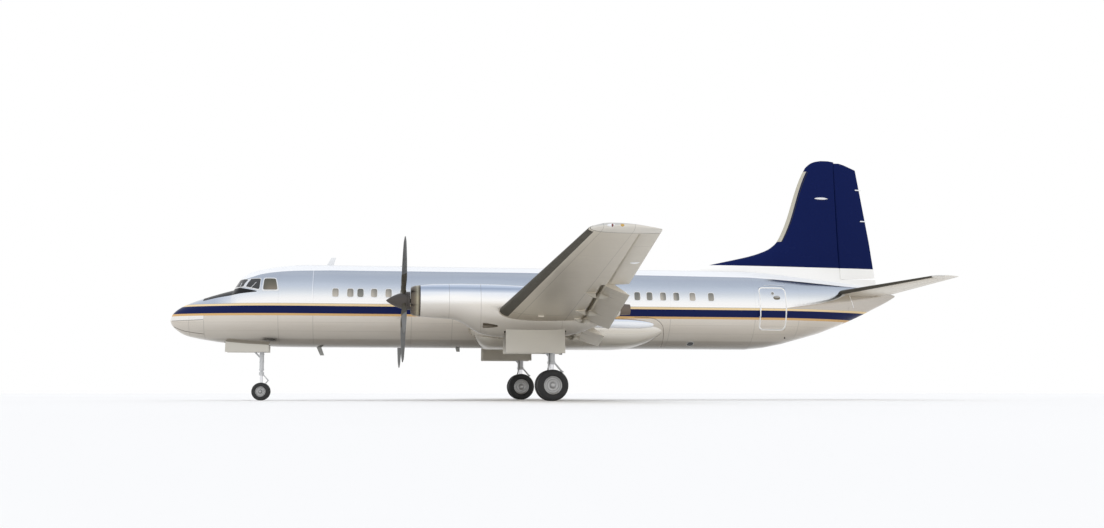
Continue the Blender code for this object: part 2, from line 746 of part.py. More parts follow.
# Nacelles, cowlings, engines and propellers
SPINNER_TIP = 7.32
SPINNER_END = 8.08
PROPELLER_PLANE = 7.88
RING_START, RING_END = 8.10, 8.40
COWLING_END = 10.30
NACELLE_END = 14.85
ENGINE_START = 8.46
ENGINE_RADIUS = 0.40
COWLING_WALL = 0.045
THRUST_Z = 3.17
EXHAUST_Z = 2.96
EXHAUST_END = 15.20
NACELLE_SIDES = 20

# station, half width, top and bottom, and the height of the widest line
NACELLE = [
    (8.40, 0.500, 3.670, 2.670, 3.17),
    (8.80, 0.535, 3.705, 2.635, 3.17),
    (9.40, 0.550, 3.720, 2.600, 3.16),
    (9.70, 0.555, 3.725, 2.500, 3.13),
    (10.05, 0.560, 3.725, 2.280, 3.05),
    (10.30, 0.560, 3.725, 2.150, 3.00),
    (10.70, 0.560, 3.720, 2.060, 2.95),
    (11.50, 0.560, 3.690, 2.020, 2.90),
    (12.60, 0.555, 3.610, 2.030, 2.85),
    (13.40, 0.520, 3.490, 2.160, 2.86),
    (14.05, 0.430, 3.350, 2.400, 2.90),
    (14.55, 0.320, 3.240, 2.620, 2.94),
    (14.85, 0.235, 3.170, 2.750, 2.96),
]
NACELLE_SQUARENESS = 2.3


def nacelle_ring(side, station, grow=0.0):
    half, top, bottom, widest = (between(NACELLE, station, column) for column in (1, 2, 3, 4))
    ring = []
    for step in range(NACELLE_SIDES):
        angle = 2 * math.pi * step / NACELLE_SIDES
        c, s = math.cos(angle), math.sin(angle)
        power = 2 / (2 if station < 9.0 else NACELLE_SQUARENESS)
        across = math.copysign(abs(c) ** power, c) * (half + grow)
        reach = (top - widest if s >= 0 else widest - bottom) + grow
        up = math.copysign(abs(s) ** power, s) * reach
        ring.append((fx(station), side * NACELLE_Y + across, widest + up))
    return ring


def nacelle_loft(name, side, start, end, grow=0.0):
    inner = [row[0] for row in NACELLE if start + 0.02 < row[0] < end - 0.02]
    return loft(name, [nacelle_ring(side, station, grow) for station in [start, *inner, end]])


MAIN_WELL_START, MAIN_WELL_END = 11.05, 13.05
MAIN_WELL_HALF = 0.37
MAIN_WELL_TOP = 2.74


def nacelle(label, side):
    body = nacelle_loft("nacelle", side, COWLING_END + FIT, NACELLE_END)
    low = (fx(MAIN_WELL_START), side * NACELLE_Y - MAIN_WELL_HALF, 1.0)
    high = (fx(MAIN_WELL_END), side * NACELLE_Y + MAIN_WELL_HALF, MAIN_WELL_TOP)
    cut(body, block("well", low, high))
    cut(body, wing_loft("wing", side, FIT))
    node(body, f"nacelle_{label}", "cowl_metal")


def cowling(label, side):
    body = nacelle_loft("cowling", side, RING_END + FIT, COWLING_END)
    cut(body, nacelle_loft("hollow", side, RING_END - 0.01, COWLING_END + 0.01, -COWLING_WALL))
    node(body, f"cowling_{label}", "cowl_metal")


def intake_ring(label, side):
    centre = (fx(0.0), side * NACELLE_Y, THRUST_Z)
    profile = [(RING_START + 0.03, 0.350), (RING_START, 0.385), (RING_START, 0.415), (RING_START + 0.03, 0.450),
               (RING_START + 0.12, 0.482), (RING_END, 0.500), (RING_END, 0.456), (RING_START + 0.15, 0.400)]
    node(turned("ring", profile, centre, ring=True, sides=NACELLE_SIDES), f"intake_ring_{label}", "intake_metal")


def engine(label, side):
    centre = (fx(0.0), side * NACELLE_Y, THRUST_Z)
    profile = [(ENGINE_START, ENGINE_RADIUS), (COWLING_END, ENGINE_RADIUS)]
    node(turned("engine", profile, centre), f"engine_{label}", "engine_iron")


def exhaust(label, side):
    centre = (fx(0.0), side * NACELLE_Y, EXHAUST_Z)
    profile = [(NACELLE_END + FIT, 0.185), (EXHAUST_END, 0.170), (EXHAUST_END, 0.150), (NACELLE_END + FIT, 0.165)]
    node(turned("pipe", profile, centre, ring=True), f"exhaust_{label}", "exhaust_steel")


# radius from the axis, chord, thickness, blade angle to the plane of rotation in degrees
BLADE = [
    (0.20, 0.120, 0.120, 60), (0.45, 0.135, 0.100, 57), (0.80, 0.225, 0.065, 48),
    (1.40, 0.250, 0.038, 36), (2.00, 0.200, 0.020, 28), (PROPELLER_DIAMETER / 2, 0.070, 0.008, 26),
]
BLADE_COUNT = 4
BLADE_LEAN = math.radians(30)
BLADE_POINTS = 8


def blade(side, turn):
    """One blade: a lens-shaped section along the radius, twisted about it."""
    rings = []
    for radius, chord, thick, pitch in BLADE:
        ring = []
        for step in range(BLADE_POINTS):
            angle = 2 * math.pi * step / BLADE_POINTS
            run, rise = chord / 2 * math.cos(angle), thick / 2 * math.sin(angle)
            lift = math.radians(pitch)
            aft = run * math.sin(lift) + rise * math.cos(lift)
            across = run * math.cos(lift) - rise * math.sin(lift)
            y = across * math.cos(turn) - radius * math.sin(turn)
            z = across * math.sin(turn) + radius * math.cos(turn)
            ring.append((fx(PROPELLER_PLANE) + aft, side * NACELLE_Y + y, THRUST_Z + z))
        rings.append(ring)
    return loft("blade", rings)


def propeller(label, side):
    centre = (fx(0.0), side * NACELLE_Y, THRUST_Z)
    length = SPINNER_END - SPINNER_TIP
    nose = [(SPINNER_TIP, 0.0)]
    nose += [(SPINNER_TIP + length * share, 0.290 * math.sin(math.pi / 2 * share) ** 0.8)
             for share in (0.04, 0.14, 0.30, 0.50, 0.72)]
    profile = nose + [(PROPELLER_PLANE + 0.02, 0.290), (SPINNER_END, 0.290), (SPINNER_END, 0.07),
                      (ENGINE_START - PIN_GAP, 0.07)]
    body = turned("spinner", profile, centre)
    for count in range(BLADE_COUNT):
        join(body, blade(side, BLADE_LEAN + count * 2 * math.pi / BLADE_COUNT))
    node(body, f"propeller_{label}", "blade_metal", (fx(PROPELLER_PLANE), side * NACELLE_Y, THRUST_Z))


# Fin and rudder
# height over the axis, station of the leading edge and of the trailing edge, half thickness
FIN = [
    (0.85, 17.90, 25.58, 0.150),
    (1.40, 18.00, 25.55, 0.170),
    (1.55, 18.60, 25.53, 0.175),
    (1.72, 19.35, 25.50, 0.180),
    (2.09, 20.90, 25.44, 0.180),
    (2.33, 21.46, 25.40, 0.175),
    (2.63, 21.77, 25.35, 0.170),
    (5.37, 22.88, 24.88, 0.085),
    (5.56, 23.07, 24.44, 0.066),
    (5.66, 23.28, 24.10, 0.045),
    (HEIGHT - AXIS_Z, 23.50, 23.82, 0.020),
]
RUDDER_LOW, RUDDER_HIGH = 1.20, 5.42
RUDDER_HINGE = ((RUDDER_LOW, 24.22), (RUDDER_HIGH, 24.05))
RUDDER_ROWS = (1.00, 2.63, 5.37, 5.56, 5.62)
RUDDER_PIN_RADIUS = 0.02
RUDDER_PIN_LENGTH = 0.3
FIN_STEPS = 9


def fin_half(height, station):
    """Half the fin's thickness at a height and station."""
    lead, trail, half = (between(FIN, height, column) for column in (1, 2, 3))
    share = min(max((station - lead) / (trail - lead), 0.0), 1.0)
    scale = half / half_thickness(0.3, 1.0)
    return scale * half_thickness(share, 1.0) + EDGE_HALF * share


def fin_loft(name):
    rings = []
    for height, lead, trail, _ in FIN:
        spots = [lead + (trail - lead) * (1 - math.cos(math.pi / 2 * step / FIN_STEPS)) for step in range(FIN_STEPS + 1)]
        ring = [(fx(spot), fin_half(height, spot), above(height)) for spot in reversed(spots)]
        ring += [(fx(spot), -fin_half(height, spot), above(height)) for spot in spots[1:]]
        rings.append(ring)
    return loft(name, rings)


def rudder_axis():
    return [Vector((fx(station), 0.0, above(height))) for height, station in RUDDER_HINGE]


def rudder_line(height):
    """The hinge and the nose radius of the rudder at a height over the axis."""
    axis = rudder_axis()
    share = (height - RUDDER_LOW) / (RUDDER_HIGH - RUDDER_LOW)
    return axis[0] + (axis[1] - axis[0]) * share, fin_half(height, RUDDER_HINGE[0][1])


def rudder_room():
    """The room behind the fin's rear face, over the rudder's height."""
    axis = rudder_axis()
    rings = []
    for height in RUDDER_ROWS:
        hinge, radius = rudder_line(height)
        front = hinge.x - radius - RUNNING_GAP
        corners = [(front, -0.5), (front, 0.5), (front + 3.0, 0.5), (front + 3.0, -0.5)]
        rings.append([(x, y, above(height)) for x, y in corners])
    rings.append([(x, y, z + 0.5) for x, y, z in rings[-1]])
    return trim(loft("room", rings), axis[0], (axis[0] - axis[1]).normalized())


def rudder():
    axis = rudder_axis()
    along = (axis[1] - axis[0]).normalized()
    rings = []
    for height in RUDDER_ROWS:
        hinge, radius = rudder_line(height)
        trail = between(FIN, height, 2)
        profile = rounded_profile((hinge.x, 0.0), radius, (fx(trail), 0.0))
        rings.append([(x, y, above(height)) for x, y in profile])
    body = loft("rudder", rings)
    trim(body, axis[0] + along * RUNNING_GAP, -along)
    join(body, rod("pin", axis[0] + along * PIN_GAP, axis[0] + along * RUDDER_PIN_LENGTH, RUDDER_PIN_RADIUS))
    node(body, "rudder", "navy_paint", axis[0])


def fin():
    body = fin_loft("fin")
    cut(body, rudder_room())
    for start, end in ((COCKPIT_END, CABIN_END), *TAIL_PIECES):
        cut(body, fuselage_part("skin", start, end, FIT))
    node(body, "fin", "navy_paint")


# Tailplane and elevators
TAIL_ROOT_LE, TAIL_ROOT_CHORD = 23.77, 2.30
TAIL_TIP_LE, TAIL_TIP_CHORD = 24.99, 0.86
TAIL_HALF = TAILPLANE_SPAN / 2
TAIL_ROOT_Y = 0.50
TAIL_Z = 0.64
TAIL_RISE = 0.02
TAIL_RATIO = 0.11
ELEVATOR_HINGE = 25.45
ELEVATOR_START, ELEVATOR_END = 0.46, 5.82
ELEVATOR_PIN = 0.012
# distance out, leading edge brought aft, chord lost at the back, thickness share
TAIL_SECTIONS = [(0.05, 0.0, 0.0, 1.0), (0.50, 0.0, 0.0, 1.0), (5.84, 0.0, 0.0, 1.0),
                 (5.96, 0.12, 0.04, 0.7), (6.00, 0.26, 0.10, 0.3)]


def tail_line(y):
    share = (y - TAIL_ROOT_Y) / (TAIL_HALF - TAIL_ROOT_Y)
    lead = TAIL_ROOT_LE + (TAIL_TIP_LE - TAIL_ROOT_LE) * share
    chord = TAIL_ROOT_CHORD + (TAIL_TIP_CHORD - TAIL_ROOT_CHORD) * share
    return lead, chord, above(TAIL_Z) + TAIL_RISE * y


def tail_half(y, station):
    lead, chord, _ = tail_line(y)
    share = min(max((station - lead) / chord, 0.0), 1.0)
    return chord * half_thickness(share, TAIL_RATIO) + EDGE_HALF * share


def tail_loft(name, side):
    rings = []
    for y, back, lost, thin in TAIL_SECTIONS:
        lead, chord, height = tail_line(y)
        spots = [lead + back + (chord - back - lost) * (1 - math.cos(math.pi / 2 * step / FIN_STEPS))
                 for step in range(FIN_STEPS + 1)]
        shares = [(spot - lead - back) / (chord - back - lost) for spot in spots]
        halves = [(chord * half_thickness(share, TAIL_RATIO) * thin + EDGE_HALF * share) for share in shares]
        pairs = list(zip(spots, halves))
        ring = [(fx(spot), side * y, height + half) for spot, half in reversed(pairs)]
        ring += [(fx(spot), side * y, height - half) for spot, half in pairs[1:]]
        rings.append(ring)
    return loft(name, rings)


def elevator_axis(side):
    return [Vector((fx(ELEVATOR_HINGE), side * y, tail_line(y)[2])) for y in (ELEVATOR_START, ELEVATOR_END)]


def elevator_face(y):
    return ELEVATOR_HINGE - tail_half(y, ELEVATOR_HINGE) - RUNNING_GAP


def elevator_room(side):
    axis = elevator_axis(side)
    along = (axis[1] - axis[0]).normalized()
    rings = []
    for y in (-0.2, TAIL_HALF + 0.2):
        face, height = elevator_face(max(y, 0.0)), tail_line(y)[2]
        corners = [(face, -0.3), (face + 2.0, -0.3), (face + 2.0, 0.3), (face, 0.3)]
        rings.append([(fx(station), side * y, height + up) for station, up in corners])
    return trim(loft("room", rings), axis[1], along)


def tailplane(label, side):
    body = tail_loft("tailplane", side)
    cut(body, elevator_room(side))
    for start, end in TAIL_PIECES:
        cut(body, fuselage_part("skin", start, end, FIT))
    node(body, f"tailplane_{label}", "wing_metal")


def elevator(label, side):
    axis = elevator_axis(side)
    along = (axis[1] - axis[0]).normalized()
    rings = []
    for y in (ELEVATOR_START - 0.2, ELEVATOR_END + 0.2):
        lead, chord, height = tail_line(y)
        radius = tail_half(y, ELEVATOR_HINGE)
        profile = rounded_profile((fx(ELEVATOR_HINGE), height), radius, (fx(lead + chord), height))
        rings.append([(x, side * y, z) for x, z in profile])
    body = loft("elevator", rings)
    trim(body, axis[0], -along)
    trim(body, axis[1] - along * RUNNING_GAP, along)
    join(body, rod("pin", axis[1] - along * 0.2, axis[1] - along * PIN_GAP, ELEVATOR_PIN))
    node(body, f"elevator_{label}", "control_metal", axis[0])


# Landing gear
MAIN_TYRE = (0.50, 0.285, 0.30)
NOSE_TYRE = (0.305, 0.170, 0.19)
MAIN_TYRE_OFFSET = 0.285
NOSE_TYRE_OFFSET = 0.175
MAIN_AXLE, NOSE_AXLE = 0.050, 0.032
AXLE_GAP = 0.001
LEG_BREAK = 1.02
NOSE_LEG_RADIUS, NOSE_PISTON_RADIUS = 0.075, 0.050
NOSE_COLLAR = (0.86, 0.98, 0.085)
NOSE_BRACE_LOW, NOSE_BRACE_RADIUS = 1.42, 0.032
NOSE_TRUNNION_DROP, NOSE_TRUNNION_RADIUS = 0.16, 0.05
NOSE_EYE_HALF, NOSE_EYE_RADIUS = 0.050, 0.075
MAIN_LEG_RADIUS, MAIN_PISTON_RADIUS = 0.115, 0.075
MAIN_LEG_LOW, MAIN_LEG_TOP = 1.20, 2.80
MAIN_BRACE_LOW, MAIN_BRACE_RADIUS = 1.36, 0.045
MAIN_TRUNNION_Z, MAIN_TRUNNION_RADIUS = 2.22, 0.07
MAIN_EYE_HALF, MAIN_EYE_RADIUS = 0.075, 0.105
# Torque links: start and end as distance aft of the leg and height, and radius
NOSE_LINKS = (((0.05, 0.90), (0.24, 0.68), 0.022), ((0.24, 0.70), (0.02, 0.42), 0.022))
MAIN_LINKS = (((0.08, 1.24), (0.36, 0.92), 0.030), ((0.36, 0.95), (0.04, 0.62), 0.030))
# Corners of an open gear door: distance out from the well's edge, and height
NOSE_DOOR = ((0.008, above(-1.1)), (0.034, above(-1.1)), (0.075, 1.66), (0.060, 1.655))
MAIN_DOOR = ((0.008, 2.40), (0.034, 2.40), (0.120, 1.52), (0.098, 1.515))
DOOR_END_GAP = 0.05


def tyre(name, x, y, size, sides=TYRE_SIDES):
    """A tyre whose flats touch the ground: outer radius, rim radius, width."""
    outer, inner, width = size
    scale = 1 / math.cos(math.pi / sides)
    half = width / 2
    depth = outer - inner
    shape = [(-half * 0.62, inner), (-half, inner + depth * 0.35), (-half * 0.92, inner + depth * 0.80),
             (-half * 0.60, outer)]
    shape += [(-along, radius) for along, radius in reversed(shape)]
    profile = [(along, radius * scale) for along, radius in shape]
    return node(turned("tyre", profile, (x, y, outer), "Y", sides, ring=True, turn=0.5), name,
                "tyre_rubber", (x, y, outer))


def hubs(name, x, y, size, offset, axle, sides=TYRE_SIDES):
    """Two wheels on one axle that turns in the leg."""
    outer, inner, width = size
    scale = 1 / math.cos(math.pi / sides)
    rim = inner - FIT * 2
    half = width * 0.30
    face = half * 0.45
    end = offset + half + 0.03
    profile = [(-end, axle * 1.5), (-offset - face, axle * 1.5), (-offset - face, rim * 0.80),
               (-offset - half, rim), (-offset + half, rim), (-offset + face, rim * 0.80),
               (-offset + face, axle)]
    profile += [(-along, radius) for along, radius in reversed(profile)]
    profile = [(along, radius * scale) for along, radius in profile]
    return node(turned("hub", profile, (x, y, outer), "Y", sides, turn=0.5), name, "hub_metal", (x, y, outer))


def axle_hole(x, y, z, axle, reach):
    radius = axle / math.cos(math.pi / TYRE_SIDES) + AXLE_GAP
    return turned("hole", [(-reach, radius), (reach, radius)], (x, y, z), "Y", TYRE_SIDES, turn=0.5)


def torque_links(leg, x, y, links):
    for (start_aft, start_z), (end_aft, end_z), radius in links:
        join(leg, rod("link", (x + start_aft, y, start_z), (x + end_aft, y, end_z), radius, BRACE_SIDES))


def axle_eye(leg, x, y, z, half, radius):
    join(leg, turned("eye", [(-half, radius), (half, radius)], (x, y, z), "Y", LEG_SIDES))


def nose_gear():
    x = fx(NOSE_WHEEL_STATION)
    wheel_z = NOSE_TYRE[0]
    leg = rod("leg", (x, 0, LEG_BREAK), (x, 0, NOSE_WELL_TOP - FIT), NOSE_LEG_RADIUS, LEG_SIDES)
    brace_top = (fx(NOSE_WELL_START) + 0.25, 0, NOSE_WELL_TOP - 0.05)
    join(leg, rod("brace", (x, 0, NOSE_BRACE_LOW), brace_top, NOSE_BRACE_RADIUS, BRACE_SIDES))
    trunnion_z = NOSE_WELL_TOP - NOSE_TRUNNION_DROP
    join(leg, rod("trunnion", (x, -NOSE_WELL_HALF + FIT, trunnion_z), (x, NOSE_WELL_HALF - FIT, trunnion_z),
                  NOSE_TRUNNION_RADIUS, LEG_SIDES))
    node(leg, "nose_leg", "gear_paint")
    fork = rod("piston", (x, 0, wheel_z), (x, 0, LEG_BREAK - PIN_GAP), NOSE_PISTON_RADIUS, LEG_SIDES)
    low, high, radius = NOSE_COLLAR
    join(fork, rod("collar", (x, 0, low), (x, 0, high), radius, LEG_SIDES))
    axle_eye(fork, x, 0, wheel_z, NOSE_EYE_HALF, NOSE_EYE_RADIUS)
    torque_links(fork, x, 0, NOSE_LINKS)
    cut(fork, axle_hole(x, 0, wheel_z, NOSE_AXLE, 0.2))
    node(fork, "nose_fork", "gear_paint", (x, 0, LEG_BREAK))
    hubs("nose_hubs", x, 0, NOSE_TYRE, NOSE_TYRE_OFFSET, NOSE_AXLE)
    for label, side in SIDES.items():
        tyre(f"nose_tyre_{label}", x, side * NOSE_TYRE_OFFSET, NOSE_TYRE)


def nose_doors():
    """The open doors hang from the edges of the well."""
    for label, side in SIDES.items():
        rings = []
        for station in (NOSE_WELL_START + DOOR_END_GAP, NOSE_WELL_END - DOOR_END_GAP):
            rings.append([(fx(station), side * (NOSE_WELL_HALF + out), z) for out, z in NOSE_DOOR])
        door = cut(loft("door", rings), fuselage_part("skin", 1.0, 4.0, FIT))
        node(door, f"nose_door_{label}", "bare_metal")


def main_gear(label, side):
    x = fx(MAIN_WHEEL_STATION)
    y = side * NACELLE_Y
    wheel_z = MAIN_TYRE[0]
    leg = rod("leg", (x, y, MAIN_LEG_LOW), (x, y, MAIN_LEG_TOP), MAIN_LEG_RADIUS, LEG_SIDES)
    join(leg, rod("piston", (x, y, wheel_z), (x, y, MAIN_LEG_LOW + 0.05), MAIN_PISTON_RADIUS, LEG_SIDES))
    brace_top = (fx(MAIN_WELL_START) + 0.20, y, MAIN_LEG_TOP)
    join(leg, rod("brace", (x, y, MAIN_BRACE_LOW), brace_top, MAIN_BRACE_RADIUS, BRACE_SIDES))
    join(leg, rod("trunnion", (x, y - MAIN_WELL_HALF + FIT, MAIN_TRUNNION_Z),
                  (x, y + MAIN_WELL_HALF - FIT, MAIN_TRUNNION_Z), MAIN_TRUNNION_RADIUS, LEG_SIDES))
    torque_links(leg, x, y, MAIN_LINKS)
    axle_eye(leg, x, y, wheel_z, MAIN_EYE_HALF, MAIN_EYE_RADIUS)
    cut(leg, axle_hole(x, y, wheel_z, MAIN_AXLE, 0.3))
    cut(leg, wing_loft("wing", side, FIT))
    node(leg, f"main_leg_{label}", "gear_paint")
    hubs(f"main_hubs_{label}", x, y, MAIN_TYRE, MAIN_TYRE_OFFSET, MAIN_AXLE)
    for place, shift in (("inner", -side), ("outer", side)):
        tyre(f"main_tyre_{place}_{label}", x, y + shift * MAIN_TYRE_OFFSET, MAIN_TYRE)


def main_doors(label, side):
    for place, turn in (("inner", -side), ("outer", side)):
        rings = []
        for station in (MAIN_WELL_START + DOOR_END_GAP, MAIN_WELL_END - DOOR_END_GAP):
            rings.append([(fx(station), side * NACELLE_Y + turn * (MAIN_WELL_HALF + out), z) for out, z in MAIN_DOOR])
        door = cut(loft("door", rings), nacelle_loft("skin", side, 10.0, 14.0, FIT))
        node(door, f"main_door_{place}_{label}", "cowl_metal")


def airframe():
    radome()
    cockpit()
    windscreen()
    cabin()
    tail()
    rear_door()
    tail_cone()
    belly_fairing()
    fin()
    rudder()
    nose_gear()
    nose_doors()


def one_side(label, side):
    """Everything that the aircraft has once on each side."""
    wing(label, side)
    aileron(label, side)
    for place, span in FLAPS.items():
        flap(label, side, place, span)
    nacelle(label, side)
    cowling(label, side)
    intake_ring(label, side)
    engine(label, side)
    exhaust(label, side)
    propeller(label, side)
    tailplane(label, side)
    elevator(label, side)
    main_gear(label, side)
    main_doors(label, side)


airframe()
for side_label, side_sign in SIDES.items():
    one_side(side_label, side_sign)
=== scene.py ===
from functools import reduce
from math import atan, atan2, copysign, cos, pi, radians, sin, sqrt, tan
from operator import and_, or_

import bmesh
import bpy
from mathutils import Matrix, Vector


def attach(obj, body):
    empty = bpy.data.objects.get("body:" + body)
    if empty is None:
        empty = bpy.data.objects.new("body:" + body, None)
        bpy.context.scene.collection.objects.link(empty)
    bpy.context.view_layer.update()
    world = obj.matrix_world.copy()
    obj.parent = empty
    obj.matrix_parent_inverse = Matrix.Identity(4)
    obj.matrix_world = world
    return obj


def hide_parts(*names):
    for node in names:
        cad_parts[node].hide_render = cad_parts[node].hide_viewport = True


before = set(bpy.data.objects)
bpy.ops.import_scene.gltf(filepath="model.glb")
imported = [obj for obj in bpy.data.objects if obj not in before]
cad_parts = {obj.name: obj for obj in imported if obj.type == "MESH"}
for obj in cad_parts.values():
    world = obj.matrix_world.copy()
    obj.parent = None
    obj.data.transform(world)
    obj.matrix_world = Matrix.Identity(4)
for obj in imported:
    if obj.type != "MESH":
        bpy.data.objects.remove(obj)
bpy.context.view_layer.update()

# Sizes and places, in metres, as in the CAD model
LENGTH = 26.30
AXIS_Z = 3.28
NACELLE_Y = 4.30
THRUST_Z = 3.17
SIDES = {"left": -1, "right": 1}

# station, top, bottom and widest height over the axis, half width
FUSELAGE = [
    (0.00, -0.50, -0.58, -0.540, 0.04), (0.06, -0.36, -0.72, -0.540, 0.18),
    (0.22, -0.19, -0.88, -0.535, 0.35), (0.50, -0.02, -1.05, -0.525, 0.53),
    (0.86, 0.13, -1.15, -0.480, 0.70), (1.22, 0.255, -1.215, -0.430, 0.84),
    (1.72, 0.41, -1.29, -0.360, 1.00), (2.12, 0.52, -1.33, -0.300, 1.11),
    (2.37, 0.925, -1.35, -0.250, 1.17), (2.58, 1.10, -1.37, -0.200, 1.22),
    (3.01, 1.24, -1.39, -0.120, 1.30), (3.66, 1.36, -1.43, -0.050, 1.39),
    (4.60, 1.44, -1.44, 0.000, 1.44), (20.38, 1.44, -1.44, 0.000, 1.44),
    (21.10, 1.40, -1.37, 0.015, 1.42), (21.80, 1.33, -1.23, 0.050, 1.36),
    (22.50, 1.25, -1.04, 0.105, 1.24), (23.25, 1.17, -0.83, 0.170, 1.03),
    (23.97, 1.10, -0.56, 0.270, 0.80), (24.69, 1.01, -0.26, 0.375, 0.57),
    (25.40, 0.90, 0.08, 0.490, 0.35), (26.00, 0.72, 0.38, 0.550, 0.14),
    (26.30, 0.62, 0.56, 0.590, 0.03),
]
WINDSCREEN_BASE, WINDSCREEN_TOP = 2.12, 2.37
RING_SIDES, LOOP_SIDES = 96, 28
SHARP_ANGLE = radians(35)
SOFT_ANGLE = radians(32)
JOIN_GAP = 0.00002


# Places and curves
def fx(station):
    """X of a station along the fuselage."""
    return station - LENGTH / 2


def above(height):
    """Z of a height over the fuselage axis."""
    return AXIS_Z + height


def spread(start, end, count):
    return [start + (end - start) * step / count for step in range(count + 1)]


def circle(count):
    """Cosine and sine of equal steps round a circle."""
    return [(cos(2 * pi * step / count), sin(2 * pi * step / count)) for step in range(count)]


def squared(value, power):
    """A cosine or sine drawn out towards a rounded square; power 2 leaves the circle."""
    return copysign(abs(value) ** (2 / power), value)


def curve(points):
    """A smooth line through (key, value) points that never overshoots them."""
    keys, values = zip(*points)
    steps = [(b - a) / (k - j) for a, b, j, k in zip(values, values[1:], keys, keys[1:])]
    slopes = [steps[0]]
    for before, after in zip(steps, steps[1:]):
        slopes.append(2 * before * after / (before + after) if before * after > 0 else 0.0)
    slopes.append(steps[-1])

    def at(key):
        if key <= keys[0]:
            return values[0]
        for spot in range(len(steps)):
            if key <= keys[spot + 1]:
                width = keys[spot + 1] - keys[spot]
                t = (key - keys[spot]) / width
                return (values[spot] * (1 + 2 * t) * (1 - t) ** 2 + slopes[spot] * width * t * (1 - t) ** 2
                        + values[spot + 1] * t * t * (3 - 2 * t) + slopes[spot + 1] * width * t * t * (t - 1))
        return values[-1]

    return at


def column_curves(rows):
    """One smooth line for each column after the first."""
    return [curve([(row[0], row[column]) for row in rows]) for column in range(1, len(rows[0]))]


def smooth_points(points, steps):
    """Points on a smooth line through the given ones."""
    padded = [points[0], *points, points[-1]]
    line = []
    for before, start, end, after in zip(padded, padded[1:], padded[2:], padded[3:]):
        for share in spread(0.0, 1.0, steps)[:-1]:
            line.append(tuple(0.5 * (2 * s + (e - b) * share + (2 * b - 5 * s + 4 * e - a) * share ** 2
                                     + (3 * s - b - 3 * e + a) * share ** 3)
                              for b, s, e, a in zip(before, start, end, after)))
    return [*line, points[-1]]


def along_line(line, spot):
    """The direction of a flat line of points at one of them."""
    before, after = line[max(spot - 1, 0)], line[min(spot + 1, len(line) - 1)]
    return Vector((after[0] - before[0], after[1] - before[1])).normalized()


NOSE_LINES = column_curves([row for row in FUSELAGE if row[0] <= WINDSCREEN_BASE])
BODY_LINES = column_curves([row for row in FUSELAGE if row[0] >= WINDSCREEN_TOP])


def fuselage(station):
    """Top, bottom and widest height, and half width at a station."""
    if station <= WINDSCREEN_BASE:
        return [line(station) for line in NOSE_LINES]
    if station >= WINDSCREEN_TOP:
        return [line(station) for line in BODY_LINES]
    share = (station - WINDSCREEN_BASE) / (WINDSCREEN_TOP - WINDSCREEN_BASE)
    return [low(WINDSCREEN_BASE) + (high(WINDSCREEN_TOP) - low(WINDSCREEN_BASE)) * share
            for low, high in zip(NOSE_LINES, BODY_LINES)]


def skin_at(station, cosine, sine, side=1, lift=0.0):
    """The skin's point at an angle in its cross section, raised along the normal."""
    top, bottom, widest, half = fuselage(station)
    reach = top - widest if sine >= 0 else widest - bottom
    normal = Vector((cosine / half, sine / reach)).normalized()
    return Vector((fx(station), side * (half * cosine + lift * normal.x),
                   above(widest + reach * sine + lift * normal.y)))


def skin(station, height, side, lift=0.0):
    """The skin's point at a height over the axis."""
    top, bottom, widest, _ = fuselage(station)
    sine = (height - widest) / (top - widest if height >= widest else widest - bottom)
    sine = max(-0.9995, min(0.9995, sine))
    return skin_at(station, sqrt(1 - sine * sine), sine, side, lift)


def skin_loop(station, height, half_length, half_height, side, lift, power=2.0):
    """A round or rounded loop on the skin."""
    return [skin(station + squared(c, power) * half_length, height + squared(s, power) * half_height, side, lift)
            for c, s in circle(LOOP_SIDES)]


# Meshes
def piece_of(name, mesh):
    mesh.shade_smooth()
    mesh.set_sharp_from_angle(angle=SHARP_ANGLE)
    thing = bpy.data.objects.new(name, mesh)
    bpy.context.scene.collection.objects.link(thing)
    return thing


def mesh_piece(name, points, faces):
    """A named mesh object with smooth shading and sharp corners."""
    mesh = bpy.data.meshes.new(name)
    mesh.from_pydata([tuple(point) for point in points], [], faces)
    shape = bmesh.new()
    shape.from_mesh(mesh)
    bmesh.ops.recalc_face_normals(shape, faces=shape.faces)
    shape.to_mesh(mesh)
    shape.free()
    return piece_of(name, mesh)


def loft(name, rings, caps=True, around=True):
    """A skin through rings of equally many points."""
    count = len(rings[0])
    points = [point for ring in rings for point in ring]
    faces = [tuple(range(count)), tuple(range(len(points) - count, len(points)))] if caps else []
    for low in range(0, len(points) - count, count):
        for spot in range(count if around else count - 1):
            after = (spot + 1) % count
            faces.append((low + spot, low + after, low + count + after, low + count + spot))
    return mesh_piece(name, points, faces)


def box_piece(name, low, high):
    corners = [(x, y, z) for x in (low[0], high[0]) for y in (low[1], high[1]) for z in (low[2], high[2])]
    faces = [(0, 1, 3, 2), (4, 5, 7, 6), (0, 1, 5, 4), (2, 3, 7, 6), (0, 2, 6, 4), (1, 3, 7, 5)]
    return mesh_piece(name, corners, faces)


def turned(name, profile, centre, axis="X", sides=48, ring=False):
    """A profile of (along, radius) turned about an axis."""
    points, rows = [], []
    for along, radius in profile:
        row = []
        for c, s in circle(sides if radius > 0 else 1):
            local = {"X": (along, radius * c, radius * s), "Y": (radius * c, along, radius * s),
                     "Z": (radius * c, radius * s, along)}[axis]
            row.append(len(points))
            points.append(Vector(centre) + Vector(local))
        rows.append(row)
    faces = []
    for near, far in list(zip(rows, rows[1:])) + ([(rows[-1], rows[0])] if ring else []):
        for step in range(sides):
            after = (step + 1) % sides
            corners = [near[step % len(near)], near[after % len(near)], far[after % len(far)], far[step % len(far)]]
            faces.append(tuple(dict.fromkeys(corners)))
    if not ring:
        faces += [tuple(row) for row in (rows[0], rows[-1]) if len(row) > 1]
    return mesh_piece(name, points, faces)


